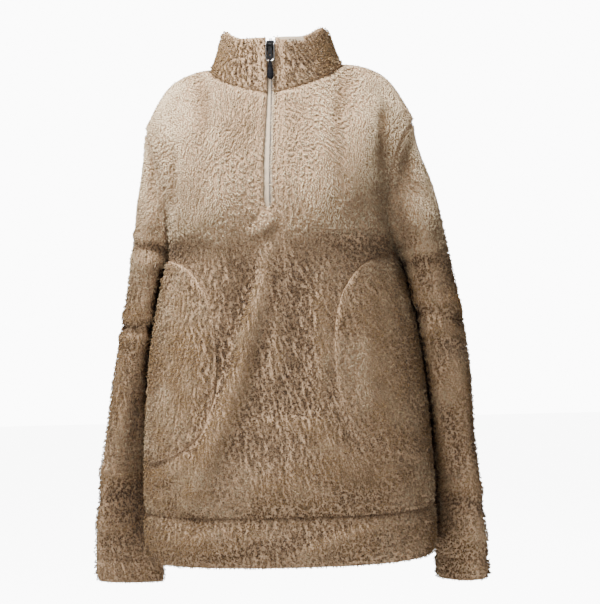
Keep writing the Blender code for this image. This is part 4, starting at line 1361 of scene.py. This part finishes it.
def tree_of(spots: np.ndarray) -> kdtree.KDTree:
    """A search tree of points.

    Args:
        spots: Rows of x, y, z.

    Returns:
        The tree, which gives a point's row number.
    """
    tree = kdtree.KDTree(len(spots))
    for i, spot in enumerate(spots):
        tree.insert(spot, i)
    tree.balance()
    return tree


def rim_edges(mesh: bpy.types.Mesh) -> np.ndarray:
    """The two point numbers of each open edge of a sheet.

    Args:
        mesh: The mesh.

    Returns:
        Rows of two numbers.
    """
    work = bmesh.new()
    work.from_mesh(mesh)
    found = [[v.index for v in edge.verts] for edge in work.edges if edge.is_boundary]
    work.free()
    return np.array(found)


def rim_distance(mesh: bpy.types.Mesh) -> np.ndarray:
    """How far each point of a sheet is from its open edges.

    Args:
        mesh: The mesh.

    Returns:
        A distance for each point.
    """
    points = read_points(mesh)
    ends = points[rim_edges(mesh)]
    tree = tree_of(np.concatenate([ends[:, 0], ends.mean(axis=1)]))
    return np.array([tree.find(point)[2] for point in points])


def folds(mesh: bpy.types.Mesh) -> np.ndarray:
    """How each point of a sheet stands against the sheet smoothed over a fold's width.

    Args:
        mesh: The mesh.

    Returns:
        1 on a full ridge, -1 in a full trough and 0 where the sheet runs evenly.
    """
    points, normals = read_points(mesh), read_normals(mesh)
    ends = np.empty(len(mesh.edges) * 2, np.int32)
    mesh.edges.foreach_get("vertices", ends)
    here, there = np.concatenate([ends[0::2], ends[1::2]]), np.concatenate([ends[1::2], ends[0::2]])
    count = np.bincount(here, minlength=len(points))
    even = points.copy()
    for _ in range(FOLD_PASSES):
        total = [np.bincount(here, even[there, axis], len(points)) for axis in range(3)]
        even = np.stack(total, axis=1) / count[:, None]
    height = np.sum((points - even) * normals, axis=1)
    return np.clip((height - np.median(height)) / FOLD_FULL, -1.0, 1.0)


class Seams:
    """Where the panels' edges lie and which way they face, shared so that the sheets meet there."""

    def __init__(self, skins: list[bpy.types.Object], ranks: list[int]) -> None:
        """Gathers the edge points of the sheets.

        Args:
            skins: The sheets.
            ranks: The rank of each, under 0 for one that joins in no seam. A seam lies on the edge
                of the sheet with the highest rank.
        """
        rims = [np.unique(rim_edges(skin.data)) for skin in skins]
        self.spots = np.concatenate([read_points(skin.data)[rim] for skin, rim in zip(skins, rims)])
        self.normals = np.concatenate([read_normals(skin.data)[rim] for skin, rim in zip(skins, rims)])
        self.owner = np.concatenate([np.full(len(rim), k) for k, rim in enumerate(rims)])
        self.rank = np.array(ranks)[self.owner]
        self.tree = tree_of(self.spots)

    def meeting(self, spot: np.ndarray, owner: int) -> np.ndarray:
        """The edge point here and the nearest one of each other sheet.

        Args:
            spot: The place of an edge point.
            owner: The number of its sheet.

        Returns:
            Their numbers, or none where this sheet joins in no seam.
        """
        found = sorted((gap, index) for _, index, gap in self.tree.find_range(spot, SEAM_REACH))
        nearest: dict[int, int] = {}
        for _, index in found:
            if self.rank[index] >= 0:
                nearest.setdefault(int(self.owner[index]), index)
        return np.array(list(nearest.values())) if owner in nearest else np.array([], int)

    def sink(self, skin: bpy.types.Object, owner: int) -> None:
        """Moves a sheet inwards to the depth of the pile's roots, with its edges in the seams.

        Args:
            skin: The sheet.
            owner: Its place among the sheets that were gathered.
        """
        points, normals = read_points(skin.data), read_normals(skin.data)
        for i in np.unique(rim_edges(skin.data)):
            near = self.meeting(points[i], owner)
            if len(near) > 1:
                lead = near[self.rank[near] == self.rank[near].max()]
                normals[i] = unit(self.normals[near]).mean(axis=0)
                points[i] = self.spots[lead].mean(axis=0)
        write_points(skin.data, points - unit(normals) * SHELL_DEPTH)


def pocket_distance(mesh: bpy.types.Mesh, points: np.ndarray) -> np.ndarray:
    """How far each point is from the nearest point of a pocket's back, which lies on the front.

    Args:
        mesh: The pocket's solid.
        points: Rows of x, y, z.

    Returns:
        A distance for each point, and 1 where it is far.
    """
    work = bmesh.new()
    work.from_mesh(mesh)
    tree = BVHTree.FromBMesh(work)
    near = np.full(len(points), 1.0)
    for i, point in enumerate(points):
        found = tree.find_nearest(Vector(point), POCKET_LOOK)
        if found[0] is not None:
            near[i] = found[3]
    work.free()
    return near


FRONT_CREASES = (
    Crease(-0.012, -0.275, -0.122, -0.590, -0.012, 0.013, 0.0090),
    Crease(-0.020, -0.250, -0.080, -0.450, 0.002, 0.013, -0.0090),
    Crease(0.014, -0.292, 0.010, -0.430, 0.003, 0.013, 0.0026),
    Crease(-0.008, -0.330, -0.022, -0.420, 0.000, 0.010, -0.0026),
    Crease(-0.062, -0.492, 0.080, -0.494, -0.008, 0.013, 0.0030),
    Crease(-0.048, -0.472, 0.070, -0.474, -0.006, 0.011, -0.0024),
    Crease(0.060, -0.500, 0.128, -0.560, 0.006, 0.012, 0.0030),
    Crease(-0.030, -0.232, 0.006, -0.206, 0.004, 0.0065, 0.0044),
    Crease(-0.036, -0.222, -0.012, -0.206, 0.002, 0.0060, -0.0034),
    Crease(-0.010, -0.246, 0.016, -0.226, -0.002, 0.0060, -0.0022),
    Crease(-0.140, -0.090, -0.143, -0.200, -0.004, 0.012, -0.0042),
    Crease(0.150, -0.050, 0.154, -0.160, 0.004, 0.012, -0.0046),
    Crease(0.128, -0.070, 0.134, -0.190, 0.004, 0.014, 0.0030),
    Crease(-0.180, -0.560, -0.110, -0.524, 0.004, 0.009, 0.0034),
    Crease(-0.176, -0.590, -0.120, -0.556, 0.003, 0.008, 0.0026),
    Crease(-0.150, -0.578, -0.106, -0.545, 0.003, 0.008, -0.0026),
    Crease(0.040, -0.545, 0.110, -0.590, 0.004, 0.011, -0.0026),
    Crease(0.090, -0.380, 0.070, -0.470, 0.003, 0.010, -0.0020),
    Crease(0.060, -0.300, 0.072, -0.420, 0.004, 0.014, 0.0022),
    Crease(-0.110, -0.205, -0.060, -0.250, 0.004, 0.012, 0.0018),
    Crease(0.050, -0.215, 0.115, -0.240, -0.004, 0.012, 0.0016),
)
BACK_CREASES = (
    Crease(-0.030, -0.170, -0.078, -0.560, 0.010, 0.018, 0.0052),
    Crease(-0.060, -0.200, -0.112, -0.500, 0.008, 0.015, -0.0044),
    Crease(0.046, -0.190, 0.066, -0.590, -0.009, 0.019, 0.0050),
    Crease(0.082, -0.230, 0.112, -0.540, -0.006, 0.015, -0.0042),
    Crease(0.010, -0.260, -0.004, -0.470, 0.004, 0.013, -0.0030),
    Crease(-0.120, -0.080, -0.150, -0.210, 0.006, 0.012, -0.0044),
    Crease(0.124, -0.084, 0.148, -0.206, -0.006, 0.012, -0.0042),
    Crease(-0.080, -0.470, 0.040, -0.492, -0.006, 0.012, 0.0034),
    Crease(-0.050, -0.520, 0.090, -0.508, 0.006, 0.012, 0.0030),
    Crease(-0.040, -0.496, 0.074, -0.500, 0.003, 0.010, -0.0028),
    Crease(0.110, -0.560, 0.180, -0.530, 0.004, 0.010, 0.0028),
    Crease(-0.190, -0.575, -0.120, -0.548, 0.004, 0.010, 0.0030),
    Crease(-0.090, -0.060, 0.080, -0.066, -0.012, 0.014, 0.0022),
)
HEM_FRONT_CREASES = (
    Crease(0.022, -0.660, 0.140, -0.624, -0.006, 0.008, 0.0036),
    Crease(0.040, -0.640, 0.120, -0.618, -0.003, 0.007, -0.0024),
    Crease(-0.160, -0.640, -0.080, -0.628, 0.004, 0.007, 0.0030),
    Crease(-0.120, -0.664, -0.020, -0.648, 0.004, 0.009, -0.0026),
    Crease(-0.060, -0.628, 0.010, -0.634, 0.002, 0.007, 0.0022),
    Crease(0.150, -0.672, 0.186, -0.640, 0.003, 0.008, 0.0022),
)
HEM_BACK_CREASES = (
    Crease(-0.150, -0.652, -0.050, -0.630, 0.005, 0.008, 0.0032),
    Crease(-0.020, -0.660, 0.070, -0.640, -0.004, 0.008, -0.0028),
    Crease(0.050, -0.634, 0.150, -0.656, 0.004, 0.008, 0.0030),
)
SLEEVE_RIGHT_CREASES = (
    Crease(0.086, -0.085, 0.078, -0.222, 0.003, 0.0080, -0.0046),
    Crease(0.112, -0.080, 0.108, -0.215, 0.003, 0.0110, 0.0034),
    Crease(0.044, -0.232, 0.128, -0.222, 0.005, 0.0062, 0.0034),
    Crease(0.050, -0.246, 0.118, -0.238, 0.003, 0.0062, -0.0018),
    Crease(0.060, -0.262, 0.140, -0.250, 0.006, 0.0080, 0.0026),
    Crease(0.052, -0.338, 0.160, -0.330, 0.006, 0.0080, 0.0034),
    Crease(0.050, -0.354, 0.150, -0.350, 0.004, 0.0064, -0.0038),
    Crease(0.060, -0.372, 0.150, -0.366, -0.004, 0.0090, 0.0030),
    Crease(0.112, -0.380, 0.096, -0.540, 0.004, 0.0100, 0.0034),
    Crease(0.086, -0.400, 0.074, -0.520, 0.003, 0.0090, -0.0028),
    Crease(0.060, -0.560, 0.150, -0.548, 0.006, 0.0080, 0.0028),
    Crease(0.070, -0.596, 0.140, -0.604, -0.004, 0.0080, -0.0026),
    Crease(0.060, -0.640, 0.130, -0.630, 0.004, 0.0080, 0.0026),
    Crease(0.180, -0.300, 0.235, -0.360, 0.006, 0.0100, -0.0036),
    Crease(0.190, -0.360, 0.245, -0.330, 0.006, 0.0090, 0.0030),
    Crease(0.200, -0.480, 0.238, -0.560, 0.004, 0.0100, -0.0030),
    Crease(0.176, -0.130, 0.190, -0.240, 0.004, 0.0120, -0.0030),
    Crease(0.170, -0.620, 0.240, -0.610, 0.005, 0.0080, 0.0026),
)
SLEEVE_LEFT_CREASES = (
    Crease(0.092, -0.120, 0.074, -0.232, 0.004, 0.0090, -0.0038),
    Crease(0.120, -0.100, 0.104, -0.240, 0.003, 0.0110, 0.0028),
    Crease(0.046, -0.262, 0.124, -0.248, 0.006, 0.0070, 0.0030),
    Crease(0.048, -0.278, 0.110, -0.270, 0.003, 0.0064, -0.0018),
    Crease(0.050, -0.326, 0.150, -0.342, -0.006, 0.0080, 0.0032),
    Crease(0.054, -0.346, 0.146, -0.362, -0.004, 0.0066, -0.0036),
    Crease(0.060, -0.372, 0.160, -0.384, -0.005, 0.0080, 0.0028),
    Crease(0.090, -0.400, 0.112, -0.500, -0.004, 0.0100, 0.0030),
    Crease(0.074, -0.470, 0.090, -0.560, -0.003, 0.0080, -0.0026),
    Crease(0.052, -0.590, 0.140, -0.602, -0.005, 0.0080, 0.0030),
    Crease(0.060, -0.616, 0.134, -0.624, -0.003, 0.0070, -0.0028),
    Crease(0.056, -0.650, 0.150, -0.660, 0.004, 0.0080, 0.0026),
    Crease(0.176, -0.330, 0.240, -0.352, 0.006, 0.0090, -0.0034),
    Crease(0.180, -0.372, 0.246, -0.362, 0.006, 0.0090, 0.0030),
    Crease(0.196, -0.120, 0.214, -0.250, 0.004, 0.0120, -0.0030),
    Crease(0.190, -0.520, 0.236, -0.600, 0.004, 0.0100, -0.0028),
    Crease(0.168, -0.640, 0.236, -0.628, 0.005, 0.0080, 0.0026),
)
COLLAR_CREASES = (
    Crease(-0.060, 0.004, -0.030, 0.010, 0.002, 0.006, 0.0014),
    Crease(0.034, -0.004, 0.062, 0.006, 0.002, 0.006, -0.0014),
)


def panels() -> list[ClothPanel]:
    """The cut pieces of fleece, with their sizes.

    Returns:
        The panels, in the order that they are made.
    """
    halves = (-1, 1)
    zip_stitch = (-0.0150, 0.0140)
    front = ClothPanel(
        "front",
        Build.TRUNK,
        flat=(0.56, 0.62),
        area=0.302,
        seed=11,
        creases=FRONT_CREASES,
        stitch_x=zip_stitch,
        sides=halves,
        lap=1.6,
    )
    back = ClothPanel(
        "back",
        Build.TRUNK,
        flat=(0.56, 0.63),
        area=0.300,
        seed=12,
        creases=BACK_CREASES,
        sides=halves,
    )
    hems = [
        ClothPanel(
            "hem_" + side,
            Build.TRUNK,
            flat=(0.55, 0.08),
            area=0.043,
            seed=seed,
            creases=creases,
            edge=Edge.FOOT,
        )
        for side, seed, creases in (("front", 13, HEM_FRONT_CREASES), ("back", 14, HEM_BACK_CREASES))
    ]
    sleeves = [
        ClothPanel(
            "sleeve_" + side,
            Build.TUBE,
            flat=(0.37, 0.63),
            area=area,
            seed=seed,
            creases=creases,
            stretches=("_upper", "_lower"),
        )
        for side, area, seed, creases in (
            ("left", 0.180, 15, SLEEVE_LEFT_CREASES),
            ("right", 0.172, 16, SLEEVE_RIGHT_CREASES),
        )
    ]
    cuffs = [
        ClothPanel(
            "cuff_" + side, Build.TUBE, flat=(0.27, 0.04), area=0.010, seed=seed, edge=Edge.FOOT
        )
        for side, seed in (("left", 17), ("right", 18))
    ]
    collar = ClothPanel(
        "collar",
        Build.NECK,
        flat=(0.43, 0.085),
        area=0.032,
        seed=19,
        creases=COLLAR_CREASES,
        edge=Edge.TOP,
        stitch_x=zip_stitch,
        stitch_cover=0.05,
        stitch_reach=0.0060,
        bare_top=(0.012, 0.045),
        least_ruffle=0.60,
        # The collar takes none of the chest's painted light, and a little painted shade.
        chest_light_share=-0.05,
        lap=1.6,
    )
    pockets = [
        ClothPanel(
            "pocket_" + side,
            Build.TRUNK,
            flat=(0.12, 0.28),
            area=0.029,
            seed=seed,
            creases=FRONT_CREASES,
            simple=True,
            seam_cover=0.10,
        )
        for side, seed in (("left", 20), ("right", 21))
    ]
    return [front, back, *hems, *sleeves, *cuffs, collar, *pockets]


@dataclass
class ZipFastener:
    """The zip: two woven tapes, the closed chain of teeth between them, and the finish of its pulls.

    The chain runs up the line where the tapes meet, with no teeth inside the slider.

    Attributes:
        flat: The width and length that each tape was cut to.
        rows: How many rows to a metre the tapes' own points are read in.
        pitch: The distance from tooth to tooth.
        tooth: A tooth's sizes along x, y and z.
        tooth_bevel: How far its edges are rounded.
        tooth_side: How far the teeth stand to the left and the right in turn.
        tooth_proud: How far they stand out, as a share of their depth.
        foot_z, top_z: The heights of the chain's ends.
        bead_radius: Half the width of a tape's rounded edge.
        bead_x: Its distance from the middle.
        bead_step: How many teeth there are between its points.
        bead_rounding: How finely it is rounded.
    """

    flat: tuple[float, float] = (0.020, 0.27)
    rows: float = 2000.0
    pitch: float = 0.00095
    tooth: tuple[float, float, float] = (0.0017, 0.0007, 0.00062)
    tooth_bevel: float = 0.00014
    tooth_side: float = 0.00022
    tooth_proud: float = 0.3
    foot_z: float = -0.203
    top_z: float = 0.033
    bead_radius: float = 0.00055
    bead_x: float = 0.00165
    bead_step: int = 4
    bead_rounding: int = 2

    def build(self, materials: Materials) -> None:
        """Builds the tapes with their beads and the chain, and dresses the slider and its pulls.

        Args:
            materials: The garment's finishes.
        """
        line = self.line()
        beads = {side: self.bead(side, sign, line, materials) for side, sign in (("left", 1), ("right", -1))}
        for side, bead in beads.items():
            self.tape(side, bead, materials)
        self.chain(line, materials)
        self.pulls(materials)

    def line(self) -> np.ndarray:
        """Points up the outer side of the line where the tapes meet, from the foot to the top.

        Returns:
            Rows of x, y, z, one for each tooth.
        """
        mesh = bpy.data.objects["zip_tape_left"].data
        found: dict[int, Vector] = {}
        for vertex in mesh.vertices:
            spot = vertex.co
            row = round(spot.z * self.rows)
            if spot.x < self.bead_x / 2 and (row not in found or spot.y < found[row].y):
                found[row] = spot.copy()
        points = np.array([found[row] for row in sorted(found)])
        heights = np.arange(self.foot_z, self.top_z, self.pitch)
        depth = np.interp(heights, points[:, 2], points[:, 1])
        return np.stack([np.zeros(len(heights)), depth, heights], axis=1)

    def bead(
        self, side: str, sign: int, line: np.ndarray, materials: Materials
    ) -> bpy.types.Object:
        """The rounded edge of a tape beside the chain.

        Args:
            side: Left or right, for the name.
            sign: 1 on the left and -1 on the right.
            line: The points up the chain.
            materials: The garment's finishes.

        Returns:
            The bead.
        """
        path = line[:: self.bead_step] + np.array((sign * self.bead_x, 0.0, 0.0))
        curve = bpy.data.curves.new("bead_" + side, "CURVE")
        curve.dimensions = "3D"
        curve.bevel_depth = self.bead_radius
        curve.bevel_resolution = self.bead_rounding
        curve.use_fill_caps = True
        spline = curve.splines.new("POLY")
        spline.points.add(len(path) - 1)
        for point, spot in zip(spline.points, path):
            point.co = (*spot, 1.0)
        make_active(new_object("bead_" + side, curve))
        bpy.ops.object.convert(target="MESH")
        bead = bpy.context.object
        bead.data.shade_smooth()
        bead.data.materials.append(materials.tape)
        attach(bead, BODY)
        return bead

    def tape(self, side: str, bead: bpy.types.Object, materials: Materials) -> None:
        """A woven tape on its solid's form, a little finer.

        Args:
            side: Left or right.
            bead: The tape's rounded edge. Not used.
            materials: The garment's finishes.
        """
        node = "zip_tape_" + side
        tape = object_of(welded([node]), "woven_" + node)
        subdivide(tape, 1, True)
        tape.data.materials.clear()
        tape.data.materials.append(materials.tape)
        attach(tape, BODY)
        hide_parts(node)
        log.info("%s: %d faces", tape.name, len(tape.data.polygons))

    def chain(self, line: np.ndarray, materials: Materials) -> None:
        """The closed chain: one rounded tooth, copied up the line, to the left and right in turn.

        Args:
            line: The points up the chain.
            materials: The garment's finishes.
        """
        bpy.ops.object.select_all(action="DESELECT")
        bpy.ops.mesh.primitive_cube_add(size=1.0, scale=self.tooth)
        tooth = bpy.context.object
        bpy.ops.object.transform_apply(location=False, rotation=False, scale=True)
        bevel = tooth.modifiers.new("round", "BEVEL")
        bevel.width = self.tooth_bevel
        bevel.segments = 1
        apply_modifiers(tooth)
        slider_lo, slider_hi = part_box("slider")
        spots = []
        for k, spot in enumerate(line):
            if slider_lo.z < spot[2] < slider_hi.z:
                continue
            side = self.tooth_side if k % 2 else -self.tooth_side
            spots.append(spot + np.array((side, -self.tooth[1] * self.tooth_proud, 0.0)))
        chain = copies(tooth, np.array(spots), "zip_chain")
        drop_object(tooth)
        chain.data.materials.append(materials.coil)
        chain.data.shade_smooth()
        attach(chain, BODY)
        log.info("%s: %d faces", chain.name, len(chain.data.polygons))

    def pulls(self, materials: Materials) -> None:
        """Finishes the slider and its pulls, whose solids stay.

        Args:
            materials: The garment's finishes.
        """
        finishes = {
            "slider": materials.enamel,
            "pull_tab": materials.enamel,
            "pull_loop": materials.wire,
            "pull_grip": materials.rubber,
        }
        for node, material in finishes.items():
            obj = bpy.data.objects[node]
            obj.data.materials.clear()
            obj.data.materials.append(material)


def copies(piece: bpy.types.Object, spots: np.ndarray, name: str) -> bpy.types.Object:
    """Joins copies of a small piece, one at each spot, into one object.

    Args:
        piece: The piece, modelled round the origin.
        spots: Rows of x, y, z.
        name: The new object's name.

    Returns:
        The joined object.
    """
    points = read_points(piece.data)
    faces = [tuple(face.vertices) for face in piece.data.polygons]
    all_points = (spots[:, None, :] + points[None]).reshape(-1, 3)
    count = len(points)
    all_faces = [
        tuple(corner + k * count for corner in face) for k in range(len(spots)) for face in faces
    ]
    mesh = bpy.data.meshes.new(name)
    mesh.from_pydata(all_points.tolist(), [], all_faces)
    mesh.update()
    return new_object(name, mesh)


@dataclass
class Studio:
    """Camera, soft lights and a plain pale set.

    Attributes:
        distance: How far the camera is from the garment.
        metres_per_pixel: The scale of the picture at the garment's middle.
        azimuth, roll: The camera's turn towards the garment's left, and its tilt, in degrees.
        aside, height: Where it looks.
        image_width: The picture's width in pixels.
        sensor: The camera's sensor width in millimetres.
        floor_z, floor_size: The floor's height and size.
        ambient, white: How strong the surround is as a light, and to look at.
        floor_glow: The share of it that the floor has to look at.
        aim: The place on the chest that the lights face.
    """

    distance: float = 2.5
    metres_per_pixel: float = 1.406e-3
    azimuth: float = 5.0
    roll: float = 1.75
    aside: float = 0.0225
    height: float = -0.326
    image_width: int = 600
    sensor: float = 36.0
    floor_z: float = -0.95
    floor_size: float = 14.0
    ambient: float = 0.20
    white: float = 11.0
    floor_glow: float = 0.8
    aim: tuple[float, float, float] = (0.0, 0.0, -0.30)

    def camera(self) -> None:
        """Places the camera at the photograph's angle."""
        turn, roll = math.radians(self.azimuth), math.radians(self.roll)
        right = Vector((math.cos(turn), math.sin(turn), 0.0))
        back = Vector((math.sin(turn), -math.cos(turn), 0.0))
        up = Vector((0.0, 0.0, 1.0))
        across = right * math.cos(roll) - up * math.sin(roll)
        upright = right * math.sin(roll) + up * math.cos(roll)
        place = right * self.aside + up * self.height + back * self.distance
        data = bpy.data.cameras.new("camera")
        data.sensor_width = self.sensor
        data.lens = self.sensor * self.distance / (self.image_width * self.metres_per_pixel)
        camera = new_object("camera", data)
        matrix = Matrix.Identity(4)
        for row in range(3):
            matrix[row] = (across[row], upright[row], back[row], place[row])
        camera.matrix_world = matrix
        bpy.context.scene.camera = camera

    def light(
        self, name: str, place: tuple[float, float, float], size: float, power: float
    ) -> None:
        """Adds a square soft light that faces the chest.

        Args:
            name: The light's name.
            place: Where it stands.
            size: The length of its side.
            power: Its watts.
        """
        data = bpy.data.lights.new(name, "AREA")
        data.size = size
        data.energy = power
        lamp = new_object(name, data)
        lamp.location = place
        ahead = Vector(self.aim) - Vector(place)
        lamp.rotation_mode = "QUATERNION"
        lamp.rotation_quaternion = ahead.to_track_quat("-Z", "Y")

    def build(self) -> None:
        """Builds the camera, the lights and the set."""
        self.camera()
        self.light("key", place=(-0.42, -0.70, 1.10), size=0.6, power=111.0)
        self.light("fill", place=(0.4, -2.6, 0.0), size=1.6, power=13.0)
        self.light("back", place=(0.5, 1.9, 1.4), size=1.2, power=60.0)
        self.sky()
        self.floor()

    def sky(self) -> None:
        """A plain white surround that is bright to look at and lights the garment softly."""
        world = bpy.data.worlds.new("studio")
        world.use_nodes = True
        nodes = Shader(world.node_tree)
        sky = world.node_tree.nodes["Background"]
        ray = nodes.add("ShaderNodeLightPath")
        strength = nodes.remap(ray.outputs["Is Camera Ray"], end=(self.ambient, self.white))
        nodes.join(strength, sky.inputs["Strength"])
        sky.inputs["Color"].default_value = (1.0, 1.0, 1.0, 1.0)
        bpy.context.scene.world = world

    def floor(self) -> None:
        """A plain pale floor well below the hem, as white as the surround, with a faint shadow."""
        bpy.ops.object.select_all(action="DESELECT")
        bpy.ops.mesh.primitive_plane_add(size=self.floor_size, location=(0.0, 0.0, self.floor_z))
        floor = bpy.context.object
        floor.name = "floor"
        material, nodes, surface = new_material("pale_floor")
        colour = nodes.ramp(
            add_cloud(nodes, 0.6), [(0.0, (0.90, 0.90, 0.90)), (1.0, (0.93, 0.93, 0.93))]
        )
        nodes.join(colour, surface.inputs["Base Color"])
        ray = nodes.add("ShaderNodeLightPath")
        nodes.join(ray.outputs["Is Camera Ray"], surface.inputs["Emission Color"])
        set_sockets(surface, {"Emission Strength": self.white * self.floor_glow, "Roughness": 0.9})
        floor.data.materials.append(material)


def main() -> None:
    """Builds the garment's looks around its solids."""
    logging.basicConfig(level=logging.INFO, format="%(message)s")
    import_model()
    noise.seed_set(SWIRL_SEED)
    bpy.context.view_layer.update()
    materials = Materials()
    cut = panels()
    skins = [panel.skin() for panel in cut]
    seams = Seams(skins, [-1 if panel.simple else int(panel.build is Build.TRUNK) for panel in cut])
    for owner, (panel, skin) in enumerate(zip(cut, skins)):
        seams.sink(skin, owner)
        panel.make(skin, materials)
    ZipFastener().build(materials)
    Studio().build()


if __name__ == "__main__":
    main()
